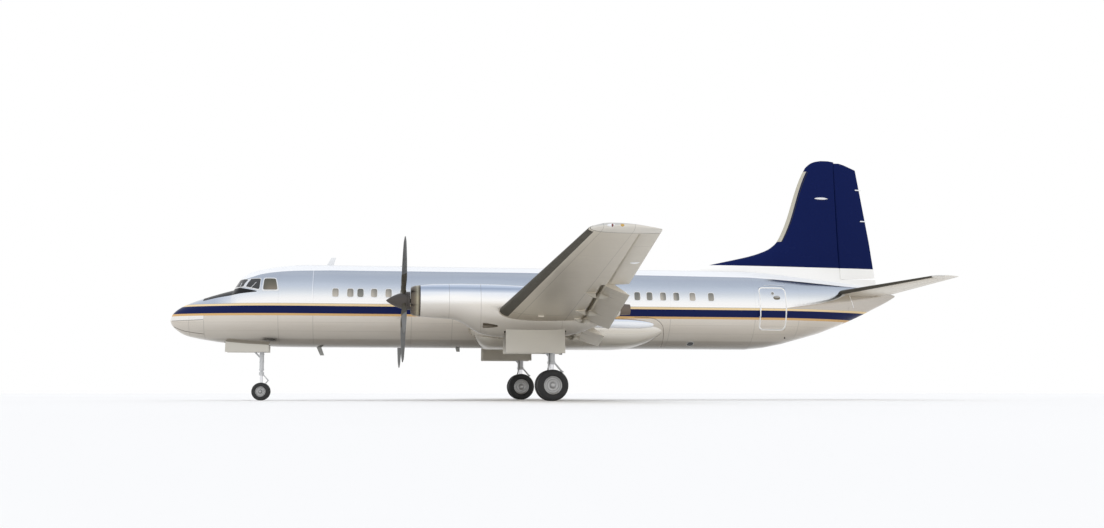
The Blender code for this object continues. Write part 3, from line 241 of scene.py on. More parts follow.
def oval(centre, along, across, up, sides=24):
    """An oval square to the fuselage, some way along from a centre."""
    return [(centre[0] + along, centre[1] + across * c, centre[2] + up * s) for c, s in circle(sides)]


def rod(name, start, end, radius, sides=16):
    start, end = Vector(start), Vector(end)
    along = (end - start).normalized()
    side = along.orthogonal().normalized()
    other = along.cross(side)
    return loft(name, [[centre + side * radius * c + other * radius * s for c, s in circle(sides)]
                       for centre in (start, end)])


def tube(name, points, radius, sides=10, steps=6):
    """A round tube along a smooth line through the points."""
    line = [Vector(point) for point in smooth_points(points, steps)]
    rings = []
    side = None
    for spot, centre in enumerate(line):
        along = (line[min(spot + 1, len(line) - 1)] - line[max(spot - 1, 0)]).normalized()
        side = along.orthogonal().normalized() if side is None else (side - along * side.dot(along)).normalized()
        other = along.cross(side)
        rings.append([centre + radius * (side * c + other * s) for c, s in circle(sides)])
    return loft(name, rings)


def cut(target, tool):
    """Take the tool's shape out of the target."""
    modifier = target.modifiers.new("cut", "BOOLEAN")
    modifier.operation = "DIFFERENCE"
    modifier.object = tool
    depsgraph = bpy.context.evaluated_depsgraph_get()
    shaped = bpy.data.meshes.new_from_object(target.evaluated_get(depsgraph))
    target.modifiers.clear()
    target.data = shaped
    bpy.data.objects.remove(tool, do_unlink=True)
    shaped.shade_smooth()
    shaped.set_sharp_from_angle(angle=SHARP_ANGLE)
    return target


def merged(name, things):
    """Several meshes as one piece."""
    shape = bmesh.new()
    for thing in things:
        shape.from_mesh(thing.data)
        bpy.data.objects.remove(thing, do_unlink=True)
    mesh = bpy.data.meshes.new(name)
    shape.to_mesh(mesh)
    shape.free()
    return piece_of(name, mesh)


def place(thing, paint, body="airframe", nodes=()):
    """Give a piece its material, its body and the nodes that it stands for."""
    thing.data.materials.clear()
    thing.data.materials.append(paint)
    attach(thing, body)
    if nodes:
        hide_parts(*nodes)
    return thing


# Materials
def maths(kind):
    """An operator that adds a maths node to the tree."""
    return lambda first, second: first.tree.math(kind, first, second)


class Value:
    """A number or colour in a node tree. Arithmetic adds nodes; | takes the larger of two and & the smaller."""

    def __init__(self, tree, socket):
        self.tree, self.socket = tree, socket

    __add__, __sub__, __mul__, __truediv__ = maths("ADD"), maths("SUBTRACT"), maths("MULTIPLY"), maths("DIVIDE")
    __pow__, __gt__, __lt__ = maths("POWER"), maths("GREATER_THAN"), maths("LESS_THAN")
    __or__, __and__ = maths("MAXIMUM"), maths("MINIMUM")

    def __rsub__(self, other):
        return self.tree.math("SUBTRACT", other, self)

    def __abs__(self):
        return self.tree.math("ABSOLUTE", self)

    def inside(self, low, high):
        """1 where the value lies between two limits."""
        return (self > low) * (self < high)

    def near(self, places, half):
        """1 within a half width of any of the places."""
        return reduce(or_, (self.tree.math("COMPARE", self, spot, half) for spot in places))

    def graded(self, stops, low, high):
        """A ramp over the value; stops are (value, grey or colour)."""
        made = self.tree.node("ShaderNodeValToRGB", {0: (self - low) / (high - low)})
        elements = made.socket.node.color_ramp.elements
        while len(elements) < len(stops):
            elements.new(0.5)
        for element, (spot, colour) in zip(elements, stops):
            element.position = (spot - low) / (high - low)
            element.color = (*colour, 1.0) if isinstance(colour, tuple) else (colour, colour, colour, 1.0)
        return made


class Nodes:
    """A node tree that grows step by step."""

    def __init__(self, tree):
        self.tree = tree

    def fill(self, node, inputs):
        """Link or set a node's inputs."""
        for key, value in inputs.items():
            socket = node.inputs[key]
            if isinstance(value, Value):
                self.tree.links.new(value.socket, socket)
            else:
                socket.default_value = (*value, 1.0) if socket.type == "RGBA" else value

    def node(self, kind, inputs, output=0, **settings):
        made = self.tree.nodes.new(kind)
        for key, value in settings.items():
            setattr(made, key, value)
        self.fill(made, inputs)
        return Value(self, made.outputs[output])

    def math(self, operation, *values):
        return self.node("ShaderNodeMath", dict(enumerate(values)), operation=operation)

    def parts(self, spot):
        """X, Y and Z of a place."""
        first = self.node("ShaderNodeSeparateXYZ", {0: spot})
        return [Value(self, socket) for socket in first.socket.node.outputs]

    def layered(self, colour, *layers):
        """A colour under layers of (cover, colour)."""
        for cover, tone in layers:
            colour = self.node("ShaderNodeMix", {0: cover, 6: colour, 7: tone}, 2, data_type="RGBA")
        return colour


class Paint(Nodes):
    """A Principled material, with the surface's place in the frame."""

    def __init__(self, name, **values):
        self.material = bpy.data.materials.new(name)
        self.material.use_nodes = True
        super().__init__(self.material.node_tree)
        self.shader = self.tree.nodes["Principled BSDF"]
        self.fill(self.shader, {key.replace("_", " "): value for key, value in values.items()})
        self.spot = self.node("ShaderNodeTexCoord", {}, "Object")
        self.x, self.y, self.z = self.parts(self.spot)
        self.station, self.height = self.x + LENGTH / 2, self.z - AXIS_Z

    def noise(self, scale, detail=3.0, stretch=(1.0, 1.0, 1.0)):
        """Soft noise between 0 and 1, stretched along the axes."""
        spot = self.node("ShaderNodeVectorMath", {0: self.spot, 1: stretch}, operation="MULTIPLY")
        return self.node("ShaderNodeTexNoise", {"Vector": spot, "Scale": scale, "Detail": detail})

    def edge(self, stops):
        """A height over the axis that follows the station along straight lines."""
        return self.station.graded([(spot, height / 2) for spot, height in stops], 0.0, LENGTH) * 2.0

    def finish(self, colour, rough, bump=None):
        """The material with its colour, roughness and bump of (height, strength, distance)."""
        self.fill(self.shader, {"Base Color": colour, "Roughness": rough})
        if bump:
            made = self.node("ShaderNodeBump", dict(zip(("Height", "Strength", "Distance"), bump)))
            self.fill(self.shader, {"Normal": made})
        return self.material


NAVY = (0.0034, 0.0092, 0.066)
GOLD = (0.62, 0.39, 0.17)
PALE_GOLD = (0.78, 0.60, 0.34)
WHITE = (0.90, 0.89, 0.865)
# Painted shade on the roof: a darker, cooler copy of the white paint, and grey along the roof's top
SHADED_ROOF_WHITE = (0.81, 0.815, 0.825)
ROOF_TOP_SHADE_GREY = (0.60, 0.60, 0.61)
BLACK = (0.012, 0.012, 0.013)
LINING = (0.40, 0.38, 0.35)
BRIGHT = (0.95, 0.95, 0.95)
CONTROL_METAL = (0.66, 0.615, 0.53)
# Heights of the stripes' edges over the axis: gold, navy, gold
STRIPES = (-0.42, -0.345, -0.09, -0.020)
# Lower edge of the white roof and of the black panel, as station and height
ROOF_EDGE = [(0.0, 2.0), (2.20, 2.0), (2.22, 0.775), (2.40, 0.83), (2.65, 0.886), (2.85, 0.949), (3.04, 1.025),
             (3.38, 1.083), (3.79, 1.128), (4.26, 1.153), (5.50, 1.185), (12.0, 1.20), (20.4, 1.14), (20.9, 1.11),
             (22.3, 1.02), (24.07, 0.90), (26.3, 0.80)]
PANEL_EDGE = [(0.0, 2.0), (1.10, 2.0), (1.13, 0.10), (1.60, 0.205), (2.05, 0.277), (2.47, 0.335), (2.75, 0.365),
              (3.05, 0.391), (3.07, 2.0), (26.3, 2.0)]
PANEL_TOP = [(0.0, 0.58), (2.30, 0.56), (2.54, 0.510), (2.80, 0.458), (3.05, 0.400), (3.07, 0.0), (26.3, 0.0)]
# Upper edge of the beige metal under the tail
TAIL_EDGE = [(0.0, 0.0), (21.5, 0.0), (21.9, 0.06), (22.9, 0.20), (23.6, 0.36), (24.2, 0.60), (26.3, 0.70)]
# Stations of the seams round the fuselage and heights of those along it
SKIN_SEAMS = (0.70, 1.22, 3.72, 4.88, 8.2, 9.6, 13.1, 17.3, 20.4, 22.1)
SKIN_LAPS = (-0.64, -0.93)
# Painted reflection and shade on the polished fuselage metal, by height over the axis: bluish sky above, a white band
# near the stripes, darker and warmer towards the belly
METAL_PAINTED_REFLECTION = [(-1.45, (0.27, 0.25, 0.22)), (-1.38, (0.27, 0.25, 0.215)), (-1.34, (0.27, 0.24, 0.20)),
                   (-1.20, (0.31, 0.28, 0.235)), (-1.16, (0.43, 0.395, 0.34)), (-0.75, (0.55, 0.50, 0.43)),
                   (-0.62, (0.62, 0.565, 0.485)), (-0.42, (0.66, 0.60, 0.525)), (-0.30, (0.93, 0.91, 0.89)),
                   (0.06, (0.93, 0.92, 0.91)), (0.16, (0.91, 0.905, 0.905)), (0.31, (0.82, 0.84, 0.86)),
                   (0.46, (0.69, 0.72, 0.75)), (0.62, (0.59, 0.63, 0.69)), (0.78, (0.50, 0.54, 0.60)),
                   (0.95, (0.455, 0.49, 0.555)), (1.10, (0.47, 0.50, 0.55)), (1.18, (0.42, 0.45, 0.51))]
# Painted reflection on the polished cowl, by height: sky and floor mirrored as colour, with a white band and a dark
# blue line near the top
COWL_PAINTED_REFLECTION = [(2.00, (0.36, 0.33, 0.28)), (2.45, (0.43, 0.395, 0.34)), (2.64, (0.51, 0.47, 0.41)),
             (2.78, (0.60, 0.555, 0.495)), (3.03, (0.74, 0.70, 0.64)), (3.17, (0.95, 0.94, 0.92)),
             (3.40, (0.96, 0.96, 0.96)), (3.49, (0.56, 0.61, 0.70)), (3.56, (0.36, 0.42, 0.53)),
             (3.62, (0.55, 0.62, 0.73)), (3.72, (0.74, 0.80, 0.89))]
# Painted reflection and shade on the belly fairing, by height: darker and warmer towards the bottom
FAIRING_PAINTED_REFLECTION = [(1.80, (0.40, 0.37, 0.315)), (2.10, (0.48, 0.445, 0.38)), (2.42, (0.60, 0.56, 0.49)),
                (2.58, (0.76, 0.73, 0.68)), (2.72, (0.94, 0.92, 0.89)), (2.90, (0.92, 0.92, 0.92))]
# Intake ring's tone by station: dark at its front and rear edges, with a painted highlight as a pale band between
# them
RING_TONE_AND_HIGHLIGHT = [(8.09, (0.09, 0.077, 0.062)), (8.19, (0.15, 0.125, 0.10)), (8.25, (0.24, 0.21, 0.155)),
                   (8.30, (0.46, 0.42, 0.31)), (8.345, (0.26, 0.23, 0.17)), (8.38, (0.05, 0.042, 0.035))]
# Middle height and half sizes of the cabin windows
WINDOW_HEIGHT = 0.37
WINDOW_HALF = (0.105, 0.145)
# Rear door: middle of its outline, half sizes, corner radius and half width of the line
DOOR_MIDDLE, DOOR_HALF, DOOR_CORNER, DOOR_LINE = (21.08, -0.01), (0.490, 0.750), 0.13, 0.024
DOOR_HINGE = 20.588
# Room behind the rear door: stations of its ends, and the share of the skin's section that counts as inside
ROOM = (20.50, 23.62)
ROOM_SHARE = 0.968
# Flap brackets' fairings: distances out, and the line under which they lie
CANOE_PLACES = (2.05, 2.95, 5.20, 6.50, 9.10)
CANOE_Z, CANOE_RISE = 1.933, 0.1258


def door_outline(paint):
    """1 on the white line round the rear door, on the left side only."""
    across = abs(paint.station - DOOR_MIDDLE[0]) - (DOOR_HALF[0] - DOOR_CORNER)
    up = abs(paint.height - DOOR_MIDDLE[1]) - (DOOR_HALF[1] - DOOR_CORNER)
    outside = ((across | 0.0) ** 2.0 + (up | 0.0) ** 2.0) ** 0.5
    distance = outside + ((across | up) & 0.0) - DOOR_CORNER
    return distance.near((0.0,), DOOR_LINE) * (paint.y < 0.0)


def vestibule(paint):
    """1 on the walls of the room behind the rear door and on the door's inner face."""
    rows = [row for row in FUSELAGE if ROOM[0] - 1.0 < row[0] < ROOM[1] + 1.0]
    middle, half, up, down = (paint.edge(stops) for stops in zip(*(
        ((spot, widest), (spot, half), (spot, top - widest), (spot, widest - bottom))
        for spot, top, bottom, widest, half in rows)))
    rise = paint.height - middle
    reach = (rise > 0.0) * (up - down) + down
    share = (paint.y / half) ** 2.0 + (rise / reach) ** 2.0
    return (share < ROOM_SHARE ** 2) * paint.station.inside(*ROOM)


def fuselage_paint():
    """Polished metal with stripes, a white roof and a black panel before the windscreen; painted reflection and shade
    over the metal, a painted shadow under the roof edge ahead of the tailplane and a painted highlight on the radome.
    """
    paint = Paint("fuselage_skin", Specular_IOR_Level=0.12)
    station, height = paint.station, paint.height
    low, navy_low, navy_top, top = STRIPES
    roof = paint.edge(ROOF_EDGE)
    lines = station.near(SKIN_SEAMS, 0.011) * ((height < low) * 0.24 + 0.06) | height.near(SKIN_LAPS, 0.006) * 0.20
    under = (height < paint.edge(TAIL_EDGE)) * (height > top)
    # Painted shade: darker, bluer metal on top of the nose, fading out by station 2.35
    fore_painted_shade = ((2.35 - station | 0.0) & 0.8) * (height > top)
    shadow = (roof - height).inside(0.0, 0.035) * station.inside(21.9, 23.9)
    # Painted highlight: a pale band below the lower gold stripe on the radome; also a pale line round station 4.85
    # above the axis
    radome_highlight_and_joint = height.inside(-0.565, low) * (station < 1.22) | station.near((4.85,), 0.012) * (height > 0.0)
    black = (height > paint.edge(PANEL_EDGE)) * (height < paint.edge(PANEL_TOP))
    covering = height > roof
    # Painted shade: the roof's white turns grey along its top
    roof_white_and_shade = height.graded([(1.30, SHADED_ROOF_WHITE), (1.385, SHADED_ROOF_WHITE), (1.43, ROOF_TOP_SHADE_GREY)], 1.2, 1.45)
    outline = door_outline(paint)
    lined = vestibule(paint)
    streaks = paint.noise(1.3, 4.0, (0.35, 1.0, 2.2)) * 0.16
    colour = paint.layered(
        height.graded(METAL_PAINTED_REFLECTION, -1.45, 1.45), (streaks, (0.95, 0.96, 0.98)), (lines, (0.16, 0.15, 0.14)),
        (under * 0.85, (0.47, 0.42, 0.355)), (fore_painted_shade, (0.46, 0.51, 0.60)), (shadow * 0.75, (0.07, 0.065, 0.06)),
        (radome_highlight_and_joint * 0.6, BRIGHT), (height.inside(navy_top, top), PALE_GOLD), (height.inside(low, navy_low), GOLD),
        (height.inside(navy_low, navy_top), NAVY), (black, BLACK), (covering, roof_white_and_shade), (outline, WHITE),
        (lined, LINING))
    covered = height.inside(low, top) | covering | outline | black | lined
    paint.fill(paint.shader, {"Metallic": 1.0 - covered})
    rough = covered * 0.12 + (paint.noise(2.0, 6.0, (0.3, 1.0, 3.0)) * 0.12 + 0.13)
    return paint.finish(colour, rough, (paint.noise(1.1, 1.0, (0.8, 1.0, 1.6)) - lines * 0.2, 0.16, 0.03))


def chord_share(paint):
    """How far aft a point lies on the wing's chord."""
    out = abs(paint.y)
    return (paint.x - (out * (1.50 / 16.0) + fx(10.40))) / (out * (-2.75 / 16.0) + 4.35)


def canoe_layer(paint):
    """A dark layer on the flap brackets' fairings."""
    out, share = abs(paint.y), chord_share(paint)
    gap = reduce(and_, (abs(out - spot) for spot in CANOE_PLACES))
    under = paint.z < out * CANOE_RISE + CANOE_Z
    cover = (share > 0.60) * under * (gap < ((0.90 - share) * 0.60 & 0.052))
    return cover * 0.45, (0.10, 0.09, 0.07)


def metal_paint(name, colour, rough, streak=0.12, spacing=0.0, metallic=1.0, wave=0.10, canoes=False):
    """Bare sheet metal with streaks and soft waves, and with seams at a spacing across."""
    paint = Paint(name, Metallic=metallic)
    layers = [(paint.noise(1.7, 5.0, (0.6, 1.0, 1.0)) * streak, tuple(0.55 * c for c in colour))]
    if spacing:
        ribs = paint.math("PINGPONG", paint.y, spacing) < 0.008
        layers.append((ribs * 0.45, tuple(0.3 * c for c in colour)))
    if canoes:
        layers.append(canoe_layer(paint))
    rough = paint.noise(16.0, 3.0, (1.0, 0.3, 1.0)) * 0.10 + rough
    return paint.finish(paint.layered(colour, *layers), rough, (paint.noise(2.2, 1.0), wave, 0.02))


def painted_reflection_metal(name, stops, rough, seams):
    """Polished metal whose tone follows the height as a painted reflection of sky and floor, with seams square to the
    fuselage.
    """
    paint = Paint(name, Metallic=1.0)
    shade = paint.layered(paint.z.graded(stops, 1.6, 3.8), (paint.noise(1.5, 4.0, (0.5, 1.0, 1.8)) * 0.15, BRIGHT),
                          (paint.station.near(seams, 0.008) * 0.35, (0.16, 0.12, 0.09)))
    return paint.finish(shade, paint.noise(14.0, 3.0) * 0.10 + rough, (paint.noise(2.0, 1.0), 0.08, 0.02))


def wing_paint():
    """Sheet metal with seams along the spars, a few ribs and pale tips of wing and tailplane."""
    paint = Paint("wing_skin", Metallic=1.0)
    out = abs(paint.y)
    lines = (chord_share(paint).near((0.16, 0.60), 0.0035) * 0.35 | out.near((6.1, 8.6, 11.0, 13.4), 0.008) * 0.15
             | out.near((15.64, 5.76), 0.012) * 0.8)
    tip = (out > 15.64) | (out > 5.76) * (paint.x > 9.0)
    shade = paint.layered((0.66, 0.61, 0.52), (paint.noise(1.7, 5.0, (0.6, 1.0, 1.0)) * 0.22, (0.40, 0.37, 0.31)),
                          (tip, (0.72, 0.69, 0.63)), canoe_layer(paint), (lines, (0.12, 0.11, 0.09)))
    rough = paint.noise(16.0, 3.0, (1.0, 0.3, 1.0)) * 0.10 + 0.28
    return paint.finish(shade, rough, (paint.noise(2.2, 1.0), 0.08, 0.02))


def ring_paint():
    """Heat-browned metal of the intake ring, with a painted highlight as a pale band round its middle."""
    paint = Paint("intake_metal", Metallic=1.0)
    shade = paint.layered(paint.station.graded(RING_TONE_AND_HIGHLIGHT, 8.0, 8.5),
                          (paint.noise(6.0, 4.0) * 0.25, (0.10, 0.085, 0.07)))
    return paint.finish(shade, paint.noise(20.0, 3.0) * 0.12 + 0.22, (paint.noise(3.0, 1.0), 0.05, 0.01))


def side_glass_paint():
    """The cockpit's side glass, darker above and before, where the cabin lies in shadow."""
    paint = Paint("cockpit_side_glass", Coat_Weight=0.4, Coat_Roughness=0.05, Specular_IOR_Level=0.3)
    tones = [(above(0.44), (0.23, 0.195, 0.15)), (above(0.62), (0.13, 0.115, 0.085)),
             (above(0.82), (0.055, 0.055, 0.035))]
    fore_painted_shade = paint.x.graded([(fx(3.20), 0.75), (fx(3.30), 0.35), (fx(3.42), 0.0)], fx(3.10), fx(3.70))
    shade = paint.layered(paint.z.graded(tones, above(0.40), above(0.90)), (fore_painted_shade, (0.055, 0.055, 0.045)),
                          (paint.noise(5.0, 3.0) * 0.5, (0.10, 0.085, 0.060)))
    return paint.finish(shade, paint.noise(3.0) * 0.1 + 0.10)


def cabin_glass_paint():
    """Window glass before pale blinds, lighter towards the sill and behind some panes."""
    paint = Paint("cabin_glass", Coat_Weight=1.0, Coat_Roughness=0.04)
    drawn = ((paint.noise(2.3, 0.0, (1.0, 0.0, 0.0)) - 0.42) * 5.0 | 0.0) & 1.0
    low = ((above(WINDOW_HEIGHT + WINDOW_HALF[1]) - paint.z) / (2 * WINDOW_HALF[1]) | 0.0) & 1.0
    blind = paint.layered((0.20, 0.19, 0.165), (low, (0.50, 0.45, 0.38)))
    glass = paint.layered((0.075, 0.078, 0.070), (low, (0.20, 0.195, 0.165)))
    return paint.finish(paint.layered(glass, (drawn, blind)), paint.noise(3.0) * 0.1 + 0.12)


def plain_paint(name, colour, rough, metallic=0.0, grain_scale=9.0, shade=0.25, **values):
    """Paint, rubber or cast metal with a slight unevenness."""
    paint = Paint(name, Metallic=metallic, **values)
    grain = paint.noise(grain_scale, 4.0)
    colour = paint.layered(colour, (grain * shade, tuple(0.5 * c for c in colour)))
    return paint.finish(colour, grain * 0.14 + (rough - 0.07), (paint.noise(grain_scale * 6, 2.0), 0.06, 0.004))


def fin_paint(name):
    """Navy paint over a white base."""
    paint = Paint(name, Specular_IOR_Level=0.06)
    grain = paint.noise(1.4, 4.0)
    navy = paint.layered(NAVY, (grain * 0.3, (0.0050, 0.0125, 0.080)))
    covered = paint.height > 1.66 - (paint.station - 19.2) * 0.008
    colour = paint.layered(WHITE, (covered, navy))
    return paint.finish(colour, grain * 0.10 + 0.22, (paint.noise(1.5, 1.0), 0.03, 0.01))


SKIN = fuselage_paint()
WING = wing_paint()
CONTROL = metal_paint("control_skin", CONTROL_METAL, 0.30, 0.2, 2.4)
FLAP = metal_paint("flap_skin", CONTROL_METAL, 0.30, 0.2, 2.4, canoes=True)
COWL = painted_reflection_metal("cowl_skin", COWL_PAINTED_REFLECTION, 0.12, (9.30, 10.30, 12.9))
FAIRING = painted_reflection_metal("fairing_skin", FAIRING_PAINTED_REFLECTION, 0.18, (12.45, 14.2))
DOOR_METAL = metal_paint("gear_door_skin", (0.60, 0.575, 0.52), 0.30, 0.2)
SEAM = plain_paint("seam_shadow", (0.11, 0.095, 0.075), 0.6)
FIN = fin_paint("fin_colours")
RUDDER = fin_paint("rudder_colours")
BOOT = plain_paint("boot_rubber", (0.062, 0.055, 0.040), 0.55, shade=0.4, Specular_IOR_Level=0.2)
FIN_BOOT = plain_paint("pale_boot", (0.50, 0.47, 0.38), 0.50)
GLASS = plain_paint("window_glass", (0.045, 0.045, 0.046), 0.22, grain_scale=1.5, Specular_IOR_Level=0.35)
CABIN_GLASS = cabin_glass_paint()
SIDE_GLASS = side_glass_paint()
# Painted shade: a dark patch that stands for the shade inside the door handle's recess
RECESS_SHADE = plain_paint("handle_recess_shade", (0.16, 0.14, 0.10), 0.5)
TYRE = plain_paint("tyre_rubber", (0.020, 0.020, 0.021), 0.62, grain_scale=30.0)
LAMP = plain_paint("amber_lens", (0.55, 0.33, 0.06), 0.12, Coat_Weight=1.0)
POLISH = metal_paint("polished_metal", (0.84, 0.86, 0.89), 0.10, 0.06, wave=0.05)
PALE_METAL = metal_paint("pale_metal", (0.86, 0.86, 0.86), 0.24, 0.1)
TRIM_WHITE = plain_paint("trim_white", (0.84, 0.85, 0.86), 0.30)
# Near black for the windscreen and the fin boot's edges, and painted shade for the scoop's mouth and the drain hole
DARK_AND_SHADE = plain_paint("dark_and_painted_shade", (0.02, 0.02, 0.02), 0.7)
GEAR = plain_paint("gear_paint", (0.62, 0.63, 0.64), 0.38, Coat_Weight=0.2)
OLEO = metal_paint("oleo_chrome", (0.78, 0.78, 0.80), 0.08, 0.05)
HUB = metal_paint("hub_metal", (0.55, 0.55, 0.55), 0.32, 0.3)
RING = ring_paint()
SPINNER = metal_paint("spinner_paint", (0.085, 0.075, 0.068), 0.30, 0.3, metallic=0.7)
BLADE = metal_paint("blade_metal", (0.17, 0.17, 0.165), 0.38, 0.4, metallic=0.8)
ENGINE = plain_paint("engine_iron", (0.10, 0.10, 0.10), 0.6, metallic=0.8)
EXHAUST = metal_paint("exhaust_steel", (0.22, 0.18, 0.15), 0.45, 0.6)
# Painted shade: the scoop's dark brown stands for the shade in its mouth
SCOOP = metal_paint("scoop_shade_metal", (0.20, 0.17, 0.13), 0.35, 0.4)
MAST_GREY = plain_paint("mast_paint", (0.33, 0.33, 0.31), 0.4)
HOSE = plain_paint("hose_rubber", (0.03, 0.03, 0.03), 0.6)
NAV_RED = plain_paint("red_lens", (0.16, 0.012, 0.010), 0.15, Coat_Weight=1.0)
NAV_GREEN = plain_paint("green_lens", (0.01, 0.25, 0.08), 0.15, Coat_Weight=1.0)


def soften_group():
    """Joins a faceted node's corners and shades it smooth up to a soft angle."""
    group = bpy.data.node_groups.new("soften", "GeometryNodeTree")
    for way in ("INPUT", "OUTPUT"):
        group.interface.new_socket("Geometry", in_out=way, socket_type="NodeSocketGeometry")
    nodes = Nodes(group)
    start = nodes.node("NodeGroupInput", {})
    joined = nodes.node("GeometryNodeMergeByDistance", {"Geometry": start, "Distance": JOIN_GAP})
    faces = nodes.node("GeometryNodeSetShadeSmooth", {"Geometry": joined}, domain="FACE")
    angle = nodes.node("GeometryNodeInputMeshEdgeAngle", {}, "Unsigned Angle")
    flat = nodes.node("FunctionNodeCompare", {0: angle, 1: SOFT_ANGLE}, data_type="FLOAT", operation="LESS_EQUAL")
    edges = nodes.node("GeometryNodeSetShadeSmooth", {"Geometry": faces, "Shade Smooth": flat}, domain="EDGE")
    nodes.fill(group.nodes.new("NodeGroupOutput"), {0: edges})
    return group


SOFTEN = soften_group()


def dress(paint, *names):
    """Keep CAD nodes, shaded smooth, with a finished material."""
    for name in names:
        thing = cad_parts[name]
        thing.data.materials.clear()
        thing.data.materials.append(paint)
        thing.modifiers.new("soften", "NODES").node_group = SOFTEN


# Fuselage skins
def fuselage_skin(name, start, end, step, tip=()):
    """A skin between two stations, with a ring at each kink of the windscreen."""
    spots = {*tip, *spread(start, end, max(1, round((end - start) / step)))}
    spots |= {kink for kink in (WINDSCREEN_BASE, WINDSCREEN_TOP)
              if start < kink < end and min(abs(spot - kink) for spot in spots) > 0.004}
    return loft(name, [[skin_at(spot, c, s) for c, s in circle(RING_SIDES)] for spot in sorted(spots)])


def fuselage_pieces():
    radome = fuselage_skin("radome_skin", 0.0, 1.22, 0.08, (0.01, 0.03, 0.06, 0.10))
    place(radome, SKIN, nodes=["radome"])
    cockpit = fuselage_skin("cockpit_skin", 1.2203, 4.75, 0.09)
    cut(cockpit, box_piece("well", (fx(1.84), -0.25, above(-2.0)), (fx(3.40), 0.25, above(-0.78))))
    place(cockpit, SKIN, nodes=["cockpit_section"])
    place(fuselage_skin("cabin_skin", 4.7503, 20.40, 0.5), SKIN, nodes=["cabin_section"])
    dress(SKIN, "tail_section")
    place(fuselage_skin("tail_cone_skin", 24.2003, 26.30, 0.1), SKIN, nodes=["tail_cone"])


def rounded_patch(name, station, height, half_length, half_height, side, lift, power=4.5, rings=4):
    """A rounded panel that lies on the skin."""
    points = [skin(station, height, side, lift)]
    for share in (ring / rings for ring in range(1, rings + 1)):
        points += skin_loop(station, height, half_length * share, half_height * share, side, lift, power)
    faces = []
    for step in range(LOOP_SIDES):
        after = (step + 1) % LOOP_SIDES
        faces.append((0, 1 + step, 1 + after))
        for low in range(1, len(points) - LOOP_SIDES, LOOP_SIDES):
            faces.append((low + step, low + after, low + LOOP_SIDES + after, low + LOOP_SIDES + step))
    return mesh_piece(name, points, faces)


def rounded_rim(name, station, height, half_length, half_height, side, width, rise, power=4.5):
    """A raised rim round a rounded opening."""
    edges = ((0.0, -0.004), (0.0, rise * 0.6), (width * 0.3, rise), (width * 0.8, rise), (width, -0.002))
    return loft(name, [skin_loop(station, height, half_length + grow, half_height + grow, side, lift, power)
                       for grow, lift in edges], caps=False)


CABIN_WINDOWS = [5.62, 6.12, 6.46, 6.92, 7.41, 7.91, *(8.40 + 0.48125 * n for n in range(17)), 16.54, 17.03, 17.51,
                 18.10, 18.78]


def cabin_windows(label, side):
    panes, rims = [], []
    for station in CABIN_WINDOWS:
        window = (station, WINDOW_HEIGHT, *WINDOW_HALF, side)
        panes.append(rounded_patch("pane", *window, 0.0025))
        rims.append(rounded_rim("rim", *window, 0.020, 0.007))
    place(merged(f"cabin_windows_{label}", panes), CABIN_GLASS)
    place(merged(f"cabin_window_rims_{label}", rims), PALE_METAL)


# Cockpit glazing: corners of each pane as station, distance out and height over the axis, and its rim's width
CORNER_POWER = 9
PANES = {
    "front": ([(2.12, 0.03, 0.535), (2.50, 0.965, 0.548), (2.64, 0.80, 0.838), (2.34, 0.03, 0.775)], 0.55),
    "quarter": ([(2.57, 0.97, 0.555), (3.07, 1.18, 0.455), (3.09, 0.94, 0.85), (2.71, 0.81, 0.83)], 0.75),
    "side": ([(3.195, 1.22, 0.450), (3.69, 1.30, 0.445), (3.60, 1.06, 0.83), (3.22, 0.97, 0.84)], 1.0),
}
# Lift of the panes, and the rims' edges as lift and margin
PANE_LIFT = 0.018
RIM_EDGES = ((0.016, 0.0), (0.024, 0.02), (0.018, 0.09), (-0.006, 0.11))
WIPERS = (((2.76, 0.49), (2.95, 0.71)), ((2.40, 0.56), (2.45, 0.70)))


def on_skin(point, side, lift):
    """Move a point in its own cross section out to the skin."""
    station, y, height = point
    top, bottom, widest, half = fuselage(station)
    angle = atan2((height - widest) / (top - widest if height >= widest else widest - bottom), y / half)
    return skin_at(station, cos(angle), sin(angle), side, lift)


def windscreen_station(y, height):
    """The station where the skin before the roof has a height at a distance out."""
    low, high = WINDSCREEN_BASE, 3.0
    for _ in range(24):
        station = (low + high) / 2
        top, _, widest, half = fuselage(station)
        if widest + (top - widest) * sqrt(max(1 - (y / half) ** 2, 0.0)) < height:
            low = station
        else:
            high = station
    return station


def pane_grid(corners, side, lift, margin, front, steps=12):
    """A grid of points over a four-cornered pane with rounded corners."""
    grid = []
    for up in spread(-1.0, 1.0, steps):
        line = []
        for across in spread(-1.0, 1.0, steps):
            reach = (abs(across) ** CORNER_POWER + abs(up) ** CORNER_POWER) ** (1 / CORNER_POWER)
            share = (0.5 + margin) * max(abs(across), abs(up)) / max(reach, 1e-6)
            u, v = 0.5 + across * share, 0.5 + up * share
            weights = ((1 - u) * (1 - v), u * (1 - v), u * v, (1 - u) * v)
            point = [sum(w * corner[axis] for w, corner in zip(weights, corners)) for axis in range(3)]
            if front:
                point[1] = max(point[1], 0.0)
                point[0] = windscreen_station(point[1], point[2])
            line.append(on_skin(point, side, lift))
        grid.append(line)
    return grid


